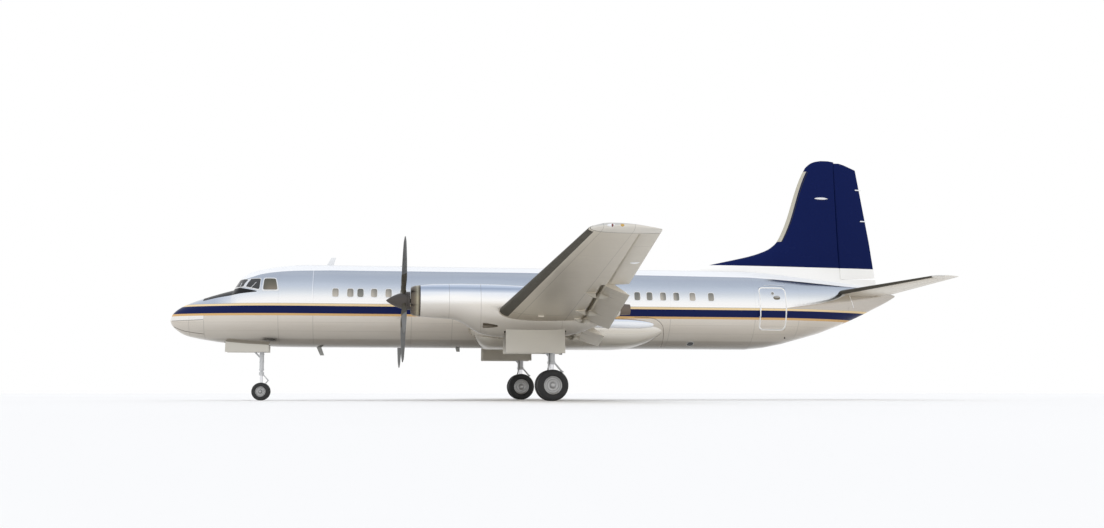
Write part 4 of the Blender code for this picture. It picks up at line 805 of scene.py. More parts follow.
def cockpit_windows(label, side):
    panes, rims = [], []
    for name, (corners, width) in PANES.items():
        front = name == "front"
        panes.append(loft(name, pane_grid(corners, side, PANE_LIFT, 0.0, front), caps=False, around=False))
        rings = []
        for lift, margin in RIM_EDGES:
            grid = pane_grid(corners, side, lift, margin * width, front)
            rings.append([*grid[0][:-1], *(line[-1] for line in grid[:-1]), *grid[-1][:0:-1],
                          *(line[0] for line in grid[:0:-1])])
        rims.append(loft("rim", rings, caps=False))
    place(panes.pop(), SIDE_GLASS).name = f"cockpit_side_pane_{label}"
    place(merged(f"cockpit_panes_{label}", panes), GLASS)
    place(merged(f"cockpit_rims_{label}", rims), PALE_METAL)
    arms = [rod("arm", skin(*start, side, 0.014), skin(*end, side, 0.022), 0.011) for start, end in WIPERS]
    place(merged(f"wipers_{label}", arms), PALE_METAL)


def round_loops(station, height, side, rows):
    """Circles on the skin, as (radius, lift)."""
    return [skin_loop(station, height, radius, radius, side, lift) for radius, lift in rows]


def round_plug(name, station, height, side, radius, low, high):
    """A round plug standing on the skin, from a depth under it to a height over it."""
    rows = ((radius, low), (radius, high * 0.6), (radius * 0.82, high))
    return loft(name, round_loops(station, height, side, rows))


def rear_door_piece():
    dress(SKIN, "rear_door")
    spot = (DOOR_MIDDLE[0], 0.53, -1)
    rim = round_loops(*spot, ((0.048, 0.0), (0.051, 0.008), (0.066, 0.008), (0.069, -0.002)))
    bar = [[skin(station, 0.40 + up, -1, lift)
            for up, lift in ((-0.012, 0.004), (0.012, 0.004), (0.010, 0.016), (-0.010, 0.016))]
           for station in (21.13, 21.19, 21.26, 21.32)]
    # The handle's recess is a flat dark patch on the door: painted shade
    recess = rounded_patch("door_handle_recess", 21.225, 0.375, 0.125, 0.070, -1, 0.003, 2.6)
    place(round_plug("door_window", *spot, 0.050, -0.004, 0.005), CABIN_GLASS, "rear_door")
    place(loft("door_window_rim", rim, caps=False), PALE_METAL, "rear_door")
    place(recess, RECESS_SHADE, "rear_door")
    place(loft("door_handle", bar), PALE_METAL, "rear_door")
    for level, height in (("low", -0.46), ("high", 0.44)):
        ends = (skin(DOOR_HINGE, height + half, -1, 0.012) for half in (-0.10, 0.10))
        place(rod(f"door_hinge_cover_{level}", *ends, 0.011), PALE_METAL)


# Wing surfaces, as in the CAD model: distance out, length added ahead and lost behind, thickness share
WING_SECTIONS = [(0.90, 0.36, 0.0, 1.0), (1.50, 0.33, 0.0, 1.0), (2.20, 0.12, 0.0, 1.0), (2.90, 0.0, 0.0, 1.0),
                 (15.60, 0.0, 0.0, 1.0), (15.84, -0.12, 0.0, 0.85), (15.96, -0.34, 0.01, 0.55),
                 (16.00, -0.52, 0.04, 0.25)]
WING_TWIST = tan(radians(3.0))
WING_RISE = tan(radians(6.32))
TRAILING_HALF = 0.004


def half_thickness(share, ratio):
    """Half the thickness of a four-digit aerofoil, in chords."""
    return 5 * ratio * (0.2969 * sqrt(share) - 0.1260 * share - 0.3516 * share ** 2
                        + 0.2843 * share ** 3 - 0.1015 * share ** 4)


def camber(share, height=0.018, spot=0.4):
    if share < spot:
        return height / spot ** 2 * (2 * spot * share - share ** 2)
    return height / (1 - spot) ** 2 * ((1 - 2 * spot) + 2 * spot * share - share ** 2)


def wing_extra(y):
    """The columns of the wing's sections at a distance out."""
    for low, high in zip(WING_SECTIONS, WING_SECTIONS[1:]):
        if y <= high[0]:
            return [a + (b - a) * (y - low[0]) / (high[0] - low[0]) for a, b in zip(low[1:], high[1:])]
    return WING_SECTIONS[-1][1:]


def wing_profile(y, share, sign):
    """Station and height of the wing's skin; sign 1 is the upper side and -1 the lower one."""
    out = y / 16.0
    lead, chord = 10.40 + 1.50 * out, 4.35 - 2.75 * out
    forward, lost, thin = wing_extra(y)
    station = lead - forward + (chord + forward - lost) * share
    middle = 2.24 + y * WING_RISE + chord / 4 * WING_TWIST - (station - lead) * WING_TWIST + chord * camber(share)
    return station, middle + sign * (chord * half_thickness(share, 0.18 - 0.06 * out) * thin + TRAILING_HALF * share)


def tail_profile(y, share, sign):
    """Station and height of the tailplane's skin."""
    out = (y - 0.50) / 5.50
    lead, chord = 23.77 + 1.22 * out, 2.30 - 1.44 * out
    return (lead + chord * share,
            above(0.64) + 0.02 * y + sign * (chord * half_thickness(share, 0.11) + TRAILING_HALF * share))


# Rubber boots: surface, first and last distance out, steps, and the share of the chord that they cover
BOOTS = {"wing": (wing_profile, 5.02, 15.55, 24, 0.075), "inner": (wing_profile, 1.95, 3.72, 10, 0.075),
         "tailplane": (tail_profile, 0.75, 5.80, 14, 0.06)}
# Lamps at the wing tip: share of the chord, distance out, half length, radius and lens on the left and right
TIP_LAMPS = {"tip_light_housing": (0.08, 15.955, 0.120, 0.036, (TRIM_WHITE, TRIM_WHITE)),
             "tip_light": (0.08, 15.966, 0.030, 0.038, (NAV_RED, NAV_GREEN)),
             "tail_light": (0.26, 15.985, 0.050, 0.034, (LAMP, LAMP))}
TIP_Y = 15.96
TAB_Y = 12.73


def boot(name, side, profile, start, end, count, cover, lift=0.004, steps=10):
    """A thin layer wrapped round the leading edge, from the lower side to the upper one."""
    shares = [cover * (step / steps) ** 2 for step in range(steps, -1, -1)]
    rings = []
    for y in spread(start, end, count):
        flat = [profile(y, share, -1) for share in shares] + [profile(y, share, 1) for share in shares[-2::-1]]
        ring = []
        for spot, (station, z) in enumerate(flat):
            run = along_line(flat, spot)
            rise = lift if 0 < spot < len(flat) - 1 else -0.003
            ring.append((fx(station - run.y * rise), side * y, z + run.x * rise))
        rings.append(ring)
    return loft(name, rings, caps=False, around=False)


def wing_details(label, side):
    for name, sizes in BOOTS.items():
        place(boot(f"{name}_boot_{label}", side, *sizes), BOOT)
    for name, (share, y, half_length, radius, lenses) in TIP_LAMPS.items():
        (station, low), (_, high) = (wing_profile(TIP_Y, share, sign) for sign in (-1, 1))
        shape = [(half_length * cos(a), max(radius * sin(a), 0.0005)) for a in spread(pi, 0.0, 12)]
        lamp = turned(f"{name}_{label}", shape, (fx(station), side * y, (low + high) / 2), sides=24)
        place(lamp, lenses[side > 0])


def tab_fairing(label, side):
    """A small white fairing of the tab rod under the aileron."""
    rings = []
    for along in spread(-1.0, 1.0, 16):
        grow = sqrt(max(1 - along * along, 0.0)) * (1 - 0.25 * along)
        station, z = wing_profile(TAB_Y, 0.907 + 0.060 * along, -1)
        rings.append([(fx(station), side * (TAB_Y + 0.032 * grow * cos(a)), z + 0.006 - 0.045 * grow * sin(a))
                      for a in spread(0, pi, 10)])
    place(loft(f"tab_fairing_{label}", rings), TRIM_WHITE, f"aileron_{label}")


# Belly fairing: how far its outline lies in from the full one, by station, and the full one
FAIRING_INSET = curve([(10.15, 0.40), (10.25, 0.29), (10.45, 0.14), (10.68, 0.045), (11.00, 0.0), (15.30, 0.0),
                       (15.90, 0.02), (16.40, 0.08), (16.80, 0.17), (17.20, 0.32)])
FAIRING_SIDE = [(1.290, -0.56), (1.405, -0.72), (1.435, -0.95), (1.400, -1.15), (1.270, -1.30), (0.980, -1.41),
                (0.500, -1.465), (0.0, -1.465)]


def belly_fairing_piece():
    outline = smooth_points(FAIRING_SIDE, 5)
    rings = []
    for station in sorted({*spread(10.15, 11.0, 14), *spread(11.0, 15.3, 10), *spread(15.3, 17.2, 20)}):
        inset = FAIRING_INSET(station)
        half = [(max(y - inset, 0.0), z + inset * (-0.6 - z) / 0.5) for y, z in outline]
        rings.append([(fx(station), -y, above(z)) for y, z in half]
                     + [(fx(station), y, above(z)) for y, z in reversed(half[:-1])])
    place(loft("belly_fairing_skin", rings), FAIRING, nodes=["belly_fairing"])


def root_fillet(label, side):
    """The wing root's fillet, which runs aft along the fuselage and closes to a point."""
    rings = []
    for share in (sin(pi / 2 * step / 30) for step in range(31)):
        station = 13.9 + 2.82 * share
        close = sqrt(1 - max((station - 15.6) / 1.12, 0.0) ** 2 + 0.0002)
        base = skin(station, -0.58 - 0.04 * share, side)
        rings.append(oval(base, 0.0, side * 0.19 * close, 0.20 * close))
    place(loft(f"root_fillet_{label}", rings), POLISH)


# Seams that run along the skin, as points of station and height
SKIN_LINES = [
    [(0.15, -0.775), (0.386, -0.877), (0.62, -0.944), (0.93, -0.994), (1.21, -1.027)],
    [(0.09, -0.577), (0.77, -0.565), (1.21, -0.548)],
    [(15.99, -0.367), (16.53, -0.388), (16.81, -0.464), (17.00, -0.62), (17.08, -0.80), (17.13, -1.10),
     (17.16, -1.38)],
]


def skin_line(name, points, side, width=0.014, lift=0.0015):
    """A narrow band along the skin."""
    line = smooth_points(points, 8)
    rows = []
    for spot, (station, height) in enumerate(line):
        run = along_line(line, spot)
        rows.append([skin(station - run.y * edge, height + run.x * edge, side, lift)
                     for edge in (-width / 2, width / 2)])
    return loft(name, rows, caps=False, around=False)


def skin_details(label, side):
    place(merged(f"skin_seams_{label}", [skin_line("line", points, side) for points in SKIN_LINES]), SEAM)
    crease = skin_line(f"tail_crease_{label}", [(24.22, 0.62), (24.30, 0.40), (24.42, 0.10)], side, 0.022)
    place(crease, PALE_METAL)
    # Painted shade: a dark disc for the drain hole
    place(round_plug(f"drain_hole_shade_{label}", 21.70, -1.04, side, 0.024, -0.004, 0.006), DARK_AND_SHADE)


# Nacelles: station, half width, top and bottom, and the height of the widest line
NACELLE = [(8.40, 0.500, 3.670, 2.670, 3.17), (8.80, 0.535, 3.705, 2.635, 3.17), (9.40, 0.550, 3.720, 2.600, 3.16),
           (9.70, 0.555, 3.725, 2.500, 3.13), (10.05, 0.560, 3.725, 2.280, 3.05), (10.30, 0.560, 3.725, 2.150, 3.00),
           (10.70, 0.560, 3.720, 2.060, 2.95), (11.50, 0.560, 3.690, 2.020, 2.90), (12.60, 0.555, 3.610, 2.030, 2.85),
           (13.40, 0.520, 3.490, 2.160, 2.86), (14.05, 0.430, 3.350, 2.400, 2.90), (14.55, 0.320, 3.240, 2.620, 2.94),
           (14.85, 0.235, 3.170, 2.750, 2.96)]
NACELLE_LINES = column_curves(NACELLE)
# Profiles turned about the thrust line, as station and radius
INTAKE_LIP = [(8.16, 0.343), (8.12, 0.360), (8.10, 0.384), (8.098, 0.400), (8.10, 0.416), (8.12, 0.438),
              (8.16, 0.462), (8.24, 0.484), (8.33, 0.495), (8.40, 0.500), (8.40, 0.456), (8.25, 0.400)]
EXHAUST_PIPE = [(14.8503, 0.185), (15.04, 0.182), (15.20, 0.170), (15.20, 0.158), (15.04, 0.166), (14.8503, 0.168)]
# Scoop of the oil cooler: distance aft, half height and half width
SCOOP_ROWS = ((0.0, 0.040, 0.085), (0.02, 0.046, 0.093), (0.16, 0.044, 0.088), (0.32, 0.030, 0.062),
              (0.48, 0.006, 0.020))


def nacelle_shell(name, side, start, end, count, grow=0.0, sides=72):
    """The nacelle's skin between two stations, rounder ahead and squarer behind."""
    rings = []
    for station in spread(start, end, count):
        half, top, bottom, widest = (line(station) for line in NACELLE_LINES)
        square = 2 + 0.3 * min(max((station - 8.6) / 1.2, 0.0), 1.0)
        rings.append([(fx(station), side * NACELLE_Y + squared(c, square) * (half + grow),
                       widest + squared(s, square) * ((top - widest if s >= 0 else widest - bottom) + grow))
                      for c, s in circle(sides)])
    return loft(name, rings)


def nacelle_pieces(label, side):
    y = side * NACELLE_Y
    body = nacelle_shell(f"nacelle_skin_{label}", side, 10.3003, 14.85, 40)
    cut(body, box_piece("well", (fx(11.05), y - 0.37, 1.0), (fx(13.05), y + 0.37, 2.74)))
    place(body, COWL, nodes=[f"nacelle_{label}"])
    cover = nacelle_shell(f"cowling_skin_{label}", side, 8.4003, 10.30, 24)
    cut(cover, nacelle_shell("hollow", side, 8.39, 10.31, 12, -0.045))
    place(cover, COWL, nodes=[f"cowling_{label}"])
    place(turned(f"intake_lip_{label}", INTAKE_LIP, (fx(0), y, THRUST_Z), sides=72, ring=True), RING,
          nodes=[f"intake_ring_{label}"])
    dress(ENGINE, f"engine_{label}")
    mouth = Vector((fx(10.36), y + side * 0.50, 2.34))
    scoop = loft(f"oil_cooler_scoop_{label}", [oval(mouth, aft, wide, high) for aft, high, wide in SCOOP_ROWS])
    place(cut(scoop, loft("hollow", [oval(mouth, aft, 0.070, 0.030) for aft in (-0.02, 0.14)])), SCOOP)
    # Painted shade: a dark disc in the scoop's mouth
    place(mesh_piece(f"scoop_mouth_shade_{label}", oval(mouth, 0.10, 0.069, 0.029), [tuple(range(24))]), DARK_AND_SHADE)
    place(turned(f"exhaust_pipe_{label}", EXHAUST_PIPE, (fx(0), y, 2.96), ring=True), EXHAUST,
          nodes=[f"exhaust_{label}"])


# Propellers: radius, chord, thickness and blade angle in degrees
BLADE_ROWS = [(0.20, 0.120, 0.120, 60), (0.45, 0.135, 0.100, 57), (0.80, 0.225, 0.065, 48),
              (1.40, 0.250, 0.038, 36), (2.00, 0.200, 0.020, 28), (2.21, 0.070, 0.008, 26)]
BLADE_LINES = column_curves(BLADE_ROWS)
BLADE_LEAN = radians(30)
SPINNER_SHARES = (0.004, 0.015, 0.04, 0.08, 0.14, 0.22, 0.30, 0.40, 0.50, 0.62, 0.74)
SPINNER_NOSE = [(7.32 + 0.76 * share, 0.290 * sin(pi / 2 * share) ** 0.8) for share in SPINNER_SHARES]
SPINNER_SHAPE = [(7.32, 0.0), *SPINNER_NOSE, (7.90, 0.290), (7.985, 0.290), (7.990, 0.284), (7.996, 0.290),
                 (8.075, 0.290), (8.08, 0.28), (8.08, 0.07), (8.4597, 0.07)]


def blade(side, turn, start, end, grow=0.0, steps=26):
    """A twisted blade, or with some growth the boot over its root."""
    rings = []
    for radius in spread(start, end, steps):
        chord, thick, pitch = (line(radius) for line in BLADE_LINES)
        lift = radians(pitch)
        ring = []
        for c, s in circle(20):
            run = (chord / 2 + grow) * c
            rise = (thick / 2 + grow) * s * (1.0 if s > 0 else 0.75)
            across = run * cos(lift) - rise * sin(lift)
            ring.append((fx(7.88) + (run * sin(lift) + rise * cos(lift)),
                         side * NACELLE_Y + (across * cos(turn) - radius * sin(turn)),
                         THRUST_Z + (across * sin(turn) + radius * cos(turn))))
        rings.append(ring)
    return loft("blade", rings)


def propeller(label, side):
    body = f"propeller_{label}"
    place(turned(f"spinner_{label}", SPINNER_SHAPE, (fx(0), side * NACELLE_Y, THRUST_Z), sides=64), SPINNER, body,
          [f"propeller_{label}"])
    for name, paint, sizes in (("blades", BLADE, (0.20, 2.21)), ("blade_boots", BOOT, (0.27, 0.95, 0.0022, 12))):
        blades = [blade(side, BLADE_LEAN + count * pi / 2, *sizes) for count in range(4)]
        place(merged(f"{name}_{label}", blades), paint, body)


# Fin and rudder: height over the axis, leading and trailing edge, half thickness
FIN_ROWS = [(0.85, 17.90, 25.58, 0.150), (1.40, 18.00, 25.55, 0.170), (1.55, 18.60, 25.53, 0.175),
            (1.72, 19.35, 25.50, 0.180), (2.09, 20.90, 25.44, 0.180), (2.33, 21.46, 25.40, 0.175),
            (2.63, 21.77, 25.35, 0.170), (5.37, 22.88, 24.88, 0.085), (5.56, 23.07, 24.44, 0.066),
            (5.66, 23.28, 24.10, 0.045), (5.70, 23.50, 23.82, 0.020)]
FIN_LEAD, FIN_TRAIL, FIN_HALF = column_curves(FIN_ROWS)
RUDDER_HINGE = 24.22
FIN_BOOT_LOW = 2.58
# Section of the rubber boot's dark edge, as distance aft of the leading edge and lift
BOOT_EDGE = ((0.155, -0.002), (0.158, 0.004), (0.178, 0.004), (0.181, -0.002))


def fin_half(height, station):
    lead, trail = FIN_LEAD(height), FIN_TRAIL(height)
    share = min(max((station - lead) / (trail - lead), 0.0), 1.0)
    return FIN_HALF(height) / half_thickness(0.3, 1.0) * half_thickness(share, 1.0) + TRAILING_HALF * share


def fin_face(height):
    """The station where the fin ends before the rudder's nose."""
    hinge = RUDDER_HINGE - 0.17 * (height - 1.20) / 4.22
    return hinge - fin_half(height, RUDDER_HINGE) - 0.010


def fin_ring(height, end, count=24):
    """The fin's section, from its end round the leading edge and back."""
    lead = FIN_LEAD(height)
    spots = [lead + (end - lead) * (1 - cos(pi / 2 * step / count)) for step in range(count + 1)]
    return [(fx(spot), sign * fin_half(height, spot), above(height))
            for sign, row in ((1, spots[::-1]), (-1, spots[1:])) for spot in row]


def fin_boot_ring(height):
    """The pale boot's section, narrower towards the fin's top."""
    lead = FIN_LEAD(height)
    depth = 0.15 - 0.03 * (height - FIN_BOOT_LOW) / 2.7
    half = []
    for step in range(8, 0, -1):
        spot = lead + depth * (step / 8) ** 2
        half.append((fx(spot), fin_half(height, spot) + (0.003 if step < 8 else -0.002), above(height)))
    return [*half, (fx(lead) - 0.004, 0.0, above(height)), *((x, -y, z) for x, y, z in reversed(half))]


def teardrop(side, height=4.24, station=23.46, size=0.27):
    """A pale teardrop fairing on one side of the fin."""
    rings = []
    for along in spread(-1.0, 1.0, 16):
        full = max(1 - along * along, 0.0)
        spot = station + size * along
        base = fin_half(height, spot) - 0.004
        rings.append([(fx(spot), side * (base + 0.034 * sqrt(full) * sin(a)),
                       above(height) + 0.052 * full ** 0.75 * cos(a)) for a in spread(0, pi, 8)])
    return loft("teardrop", rings, around=False)


def rudder_mark(height):
    """A white mark across the rudder's trailing edge."""
    trail = fx(FIN_TRAIL(height))
    rows = ((trail - 0.22, 0.035), (trail - 0.10, 0.024), (trail + 0.012, 0.008))
    corners = ((1, -0.02), (1, 0.02), (-1, 0.02), (-1, -0.02))
    return loft("mark", [[(x, sign * y, above(height) + up) for sign, up in corners] for x, y in rows])


def fin_pieces():
    heights = sorted({*spread(1.20, 2.75, 30), *spread(2.75, 5.37, 14), *spread(5.37, 5.70, 9)})
    upper = loft("upper", [fin_ring(height, min(fin_face(height), FIN_TRAIL(height))) for height in heights])
    lower = loft("lower", [fin_ring(height, FIN_TRAIL(height)) for height in (0.85, 0.97, 1.08, 1.1999)])
    place(merged("fin_skin", [upper, lower]), FIN, nodes=["fin"])
    dress(RUDDER, "rudder")
    strip = [fin_boot_ring(height) for height in spread(FIN_BOOT_LOW, 5.27, 20)]
    place(loft("fin_boot", strip, caps=False, around=False), FIN_BOOT)
    place(merged("fin_teardrops", [teardrop(side) for side in (-1, 1)]), PALE_METAL)
    marks = [rudder_mark(height) for height in (4.61, 3.42)]
    place(merged("rudder_marks", marks), TRIM_WHITE, "rudder")
    for label, side in SIDES.items():
        edge = [[(fx(FIN_LEAD(height) + gap), side * (fin_half(height, FIN_LEAD(height) + gap) + lift), above(height))
                 for gap, lift in BOOT_EDGE] for height in spread(FIN_BOOT_LOW, 5.25, 16)]
        place(loft(f"fin_boot_edge_{label}", edge), DARK_AND_SHADE)


# Antennas: station, height where the foot is, root and tip chord, span and rake aft
MASTS = {"mast_top": (5.34, 1.40, 0.24, 0.16, 0.32, 0.14),
         "blade_belly_front": (5.02, -1.40, 0.17, 0.14, -0.32, 0.13),
         "blade_belly_second": (9.86, -1.40, 0.16, 0.12, -0.17, 0.03),
         "blade_belly_third": (11.56, -1.44, 0.16, 0.12, -0.15, 0.02),
         "blade_belly_fourth": (13.55, -1.44, 0.18, 0.12, -0.22, 0.02)}
# Belly light: station, height over the axis and half sizes
BELLY_LIGHT = (18.18, -1.27, 0.11, 0.060)


def small_outside_pieces():
    for name, (station, foot, root, tip, span, rake) in MASTS.items():
        rings = []
        for share in spread(0.0, 1.0, 6):
            chord, thick = root + (tip - root) * share, 0.024 - 0.010 * share
            rings.append([(fx(station) + rake * share + chord / 2 * c, thick / 2 * s, above(foot + span * share))
                          for c, s in circle(20)])
        place(loft(name, rings), TRIM_WHITE if span > 0 else MAST_GREY)
    panes = [rounded_patch("pane", *BELLY_LIGHT, side, 0.002, 2.6) for side in (-1, 1)]
    place(merged("belly_lights", panes), GLASS)
    rims = [rounded_rim("rim", *BELLY_LIGHT, side, 0.024, 0.006, 2.6) for side in (-1, 1)]
    place(merged("belly_light_rims", rims), MAST_GREY)
    gutter = skin_line("door_gutter", [(20.80, 0.83), (21.20, 0.845), (21.60, 0.82)], -1, 0.020, 0.006)
    place(gutter, PALE_METAL)


# Landing gear: station of the axle, distance out of each wheel, tyre's radius, rim radius and width
NOSE_WHEELS = (3.10, 0.175, (0.305, 0.170, 0.19))
MAIN_WHEELS = (12.62, 0.285, (0.50, 0.285, 0.30))
# Half of a tyre's wall, as share of the half width and of the depth
TYRE_WALL = [(0.62, 0.0), (0.82, 0.05), (0.95, 0.20), (1.0, 0.40), (0.985, 0.60), (0.92, 0.78), (0.82, 0.90),
             (0.70, 0.965), (0.58, 0.990)]
# A brake line's run beside a main leg, as distance aft and out, and height
BRAKE_LINE = ((-0.07, 0.105, 2.24), (-0.075, 0.105, 1.70), (-0.07, 0.11, 1.28), (-0.10, 0.12, 1.05),
              (-0.16, 0.12, 0.82), (-0.14, 0.125, 0.62))


def fine_tyre(name, x, y, size):
    """A tyre with rounded shoulders and four grooves round the tread."""
    outer, inner, width = size
    half, depth = width / 2, outer - inner
    profile = [(-share * half, inner + depth * rise) for share, rise in TYRE_WALL]
    for middle in (-0.42, -0.14, 0.14, 0.42):
        for share, drop in ((-0.034, 0.0), (-0.024, 0.06), (0.024, 0.06), (0.034, 0.0)):
            crown = 0.006 * (middle + share) ** 2
            profile.append(((middle + share) * half, outer - crown - drop * depth))
    profile += [(share * half, inner + depth * rise) for share, rise in reversed(TYRE_WALL)]
    return turned(name, profile, (x, y, outer), "Y", 96, ring=True)


def fine_wheels(name, x, y, size, offset, axle, bolts):
    """Two wheels on one axle, each with a dished disc, a rim lip and a ring of bolts."""
    outer, inner, width = size
    half = width * 0.31
    face = half * 0.45
    inside, outside, disc = offset - half, offset + half, offset + face
    profile = [(outside + 0.028, 0.0), (outside + 0.028, axle * 0.9), (outside + 0.020, axle * 1.3),
               (disc, axle * 1.5), (disc + 0.010, inner * 0.36), (disc + 0.022, inner * 0.44),
               (disc + 0.022, inner * 0.60), (disc - 0.006, inner * 0.70), (disc - 0.004, inner * 0.82),
               (outside - 0.012, inner * 0.90), (outside + 0.003, inner * 0.96), (outside + 0.006, inner + 0.008),
               (outside - 0.002, inner + 0.010), (outside - 0.006, inner - 0.001), (inside + 0.006, inner - 0.001),
               (inside + 0.002, inner + 0.010), (inside - 0.006, inner + 0.008), (inside - 0.003, inner * 0.94),
               (offset - face, inner * 0.82), (offset - face, axle)]
    profile = [(-along, radius) for along, radius in profile] + profile[::-1]
    pieces = [turned("wheels", profile, (x, y, outer), "Y", 64)]
    for side in (-1, 1):
        plane = y + side * (disc + 0.020)
        for c, s in circle(bolts):
            x_at, z_at = x + inner * 0.52 * c, outer + inner * 0.52 * s
            pieces.append(rod("bolt", (x_at, plane, z_at), (x_at, plane + side * 0.014, z_at), inner * 0.042, 6))
    return merged(name, pieces)


def twin_wheels(gear, end, x, y, body, tyres, offset, size, axle, bolts):
    """Hubs, tyres and doors of one landing gear."""
    place(fine_wheels(f"wheels_{gear}{end}", x, y, size, offset, axle, bolts), HUB, body,
          [f"{gear}_hubs{end}"])
    for label, turn in tyres:
        place(fine_tyre(f"tyre_{gear}_{label}{end}", x, y + turn * offset, size), TYRE, body,
              [f"{gear}_tyre_{label}{end}"])
        dress(DOOR_METAL, f"{gear}_door_{label}{end}")


def collars(x, y, inner, edge, sides, rows):
    """Rings round a leg, as (height, depth, radius)."""
    return [turned("ring", [(z, inner), (z, r), (z + edge, r + edge / 2), (z + tall - edge, r + edge / 2),
                            (z + tall, r), (z + tall, inner)], (x, y, 0.0), "Z", sides, ring=True)
            for z, tall, r in rows]


def pins(x, y, half, radius, sides, rows):
    """Pins across a leg, as (distance aft, height)."""
    return [rod("pin", (x + aft, y - half, z), (x + aft, y + half, z), radius, sides) for aft, z in rows]


def door_links(name, x, y, low, high, radius):
    """A rod to each door, from one (distance aft, distance out, height) to the other."""
    links = [rod("link", *((x + aft, y + turn * out, z) for aft, out, z in (low, high)), radius, 12)
             for turn in (-1, 1)]
    place(merged(name, links), GEAR)


def main_gear_details(label, side):
    station, offset, size = MAIN_WHEELS
    x, y = fx(station), side * NACELLE_Y
    twin_wheels("main", f"_{label}", x, y, f"main_wheels_{label}", (("inner", -side), ("outer", side)), offset, size,
                0.050, 10)
    dress(GEAR, f"main_leg_{label}")
    place(turned(f"oleo_main_{label}", [(0.66, 0.0785), (1.20, 0.0785)], (x, y, 0.0), "Z", 40), OLEO)
    fittings = collars(x, y, 0.10, 0.012, 40, ((1.17, 0.09, 0.124), (1.66, 0.05, 0.119), (2.02, 0.05, 0.119)))
    fittings += pins(x, y, 0.085, 0.026, 20, ((0.36, 0.935), (0.09, 1.24), (0.06, 0.62)))
    place(merged(f"leg_fittings_main_{label}", fittings), GEAR)
    lines = [tube("line", [(x + aft, y + turn * out, z) for aft, out, z in BRAKE_LINE], 0.011) for turn in (-1, 1)]
    place(merged(f"brake_lines_main_{label}", lines), HOSE)
    brakes = [turned("brake", [(0.0, 0.06), (0.0, 0.175), (0.055, 0.19), (0.070, 0.19), (0.070, 0.06)],
                     (x, y + start, 0.50), "Y", 40, ring=True) for start in (-0.196, 0.126)]
    place(merged(f"brakes_main_{label}", brakes), ENGINE)
    door_links(f"door_links_main_{label}", x, y, (-0.10, 0.10, 2.02), (-0.14, 0.452, 1.86), 0.014)


def nose_gear_details():
    station, offset, size = NOSE_WHEELS
    x = fx(station)
    twin_wheels("nose", "", x, 0.0, "nose_wheels", SIDES.items(), offset, size, 0.032, 8)
    dress(GEAR, "nose_leg", "nose_fork")
    place(turned("oleo_nose", [(0.39, 0.0525), (0.855, 0.0525)], (x, 0.0, 0.0), "Z", 32), OLEO, "nose_fork")
    place(merged("link_pins_nose", pins(x, 0.0, 0.055, 0.019, 16, ((0.24, 0.69), (0.05, 0.90), (0.03, 0.42)))), GEAR,
          "nose_fork")
    rings = collars(x, 0.0, 0.06, 0.010, 32, ((1.03, 0.06, 0.082), (1.30, 0.04, 0.078), (1.56, 0.04, 0.078)))
    place(merged("leg_fittings_nose", rings), GEAR)
    line = tube("steering_line", [(x - 0.05, 0.055, 2.20), (x - 0.055, 0.058, 1.75), (x - 0.055, 0.058, 1.30),
                                  (x - 0.050, 0.060, 1.08)], 0.008)
    place(line, HOSE)
    door_links("door_links_nose", x, 0.0, (-0.03, 0.06, 1.72), (-0.10, 0.300, 1.80), 0.010)


# Ground, light and camera
FLOOR_HALF = 900
# Sky's colour by how high the ray points: from 0 (straight down) to 1 (straight up)
SKY = [(0.0, (0.93, 0.93, 0.925)), (0.30, (1.0, 1.0, 0.995)), (0.50, (1.0, 1.0, 1.0)),
       (0.70, (1.0, 1.0, 1.0)), (0.88, (0.84, 0.88, 0.95)), (1.0, (0.80, 0.85, 0.93))]
CAMERA_DISTANCE = 42.0
CAMERA_AHEAD = radians(8.2)
CAMERA_Z = 0.25
LOOK_AT = Vector((0.11, 0.0, 4.90))
FRAME_WIDTH = 39.75


def in_scene(name, data, towards):
    """A lamp or camera that looks along a direction."""
    thing = bpy.data.objects.new(name, data)
    bpy.context.scene.collection.objects.link(thing)
    thing.rotation_euler = towards.to_track_quat("-Z", "Y").to_euler()
    return thing


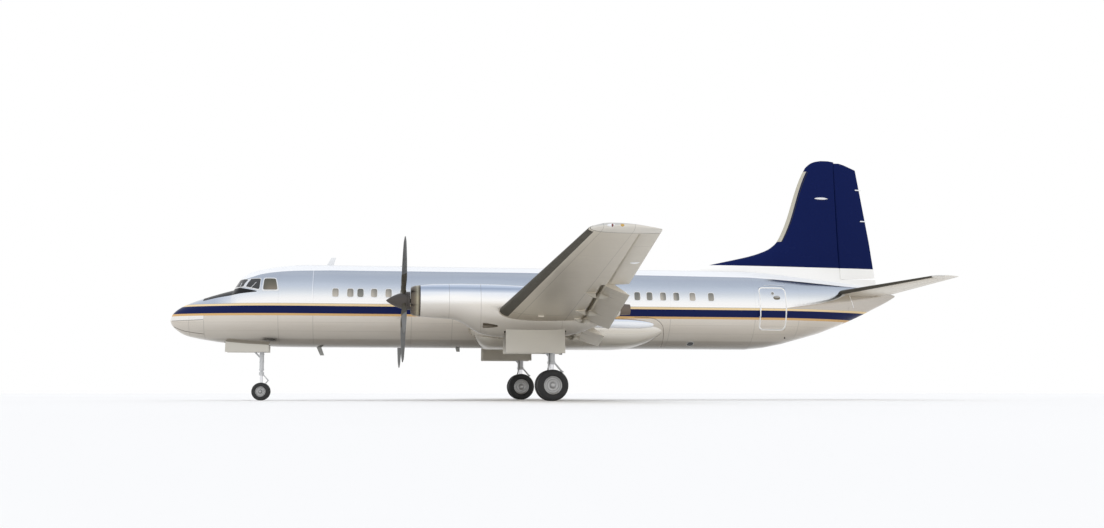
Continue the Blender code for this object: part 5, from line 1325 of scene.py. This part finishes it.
def stage():
    corners = [(-FLOOR_HALF, -FLOOR_HALF, 0), (FLOOR_HALF, -FLOOR_HALF, 0), (FLOOR_HALF, FLOOR_HALF, 0),
               (-FLOOR_HALF, FLOOR_HALF, 0)]
    floor = mesh_piece("floor", corners, [(0, 1, 2, 3)])
    paint = Paint("floor_paint", Specular_IOR_Level=0.1)
    tone = paint.layered((0.87, 0.855, 0.835), (paint.noise(0.05, 2.0), (0.90, 0.885, 0.865)))
    floor.data.materials.append(paint.finish(tone, 0.85))
    world = bpy.data.worlds.new("sky")
    bpy.context.scene.world = world
    world.use_nodes = True
    sky = Nodes(world.node_tree)
    height = sky.parts(sky.node("ShaderNodeTexCoord", {}, "Generated"))[2] * 0.5 + 0.5
    sky.fill(world.node_tree.nodes["Background"], {"Color": height.graded(SKY, 0.0, 1.0), "Strength": 1.0})
    sun = bpy.data.lights.new("key", "SUN")
    sun.energy = 0.8
    sun.angle = radians(60)
    in_scene("key", sun, Vector((0.25, 0.55, -0.8))).visible_glossy = False


def camera():
    data = bpy.data.cameras.new("camera")
    place_of_eye = Vector((LOOK_AT.x - CAMERA_DISTANCE * sin(CAMERA_AHEAD), -CAMERA_DISTANCE * cos(CAMERA_AHEAD),
                           CAMERA_Z))
    eye = in_scene("camera", data, LOOK_AT - place_of_eye)
    eye.location = place_of_eye
    data.angle = 2 * atan(FRAME_WIDTH / 2 / CAMERA_DISTANCE)
    data.clip_end = 2000.0
    bpy.context.scene.camera = eye
    bpy.context.scene.view_settings.view_transform = "Standard"


stage()
camera()
fuselage_pieces()
dress(DARK_AND_SHADE, "windscreen")
rear_door_piece()
fin_pieces()
small_outside_pieces()
belly_fairing_piece()
nose_gear_details()
for label, side in SIDES.items():
    for make in (cabin_windows, cockpit_windows, wing_details, tab_fairing, nacelle_pieces, propeller, root_fillet,
                 skin_details, main_gear_details):
        make(label, side)
    dress(WING, f"wing_{label}", f"tailplane_{label}")
    dress(CONTROL, f"aileron_{label}", f"elevator_{label}")
    dress(FLAP, f"flap_inner_{label}", f"flap_outer_{label}")
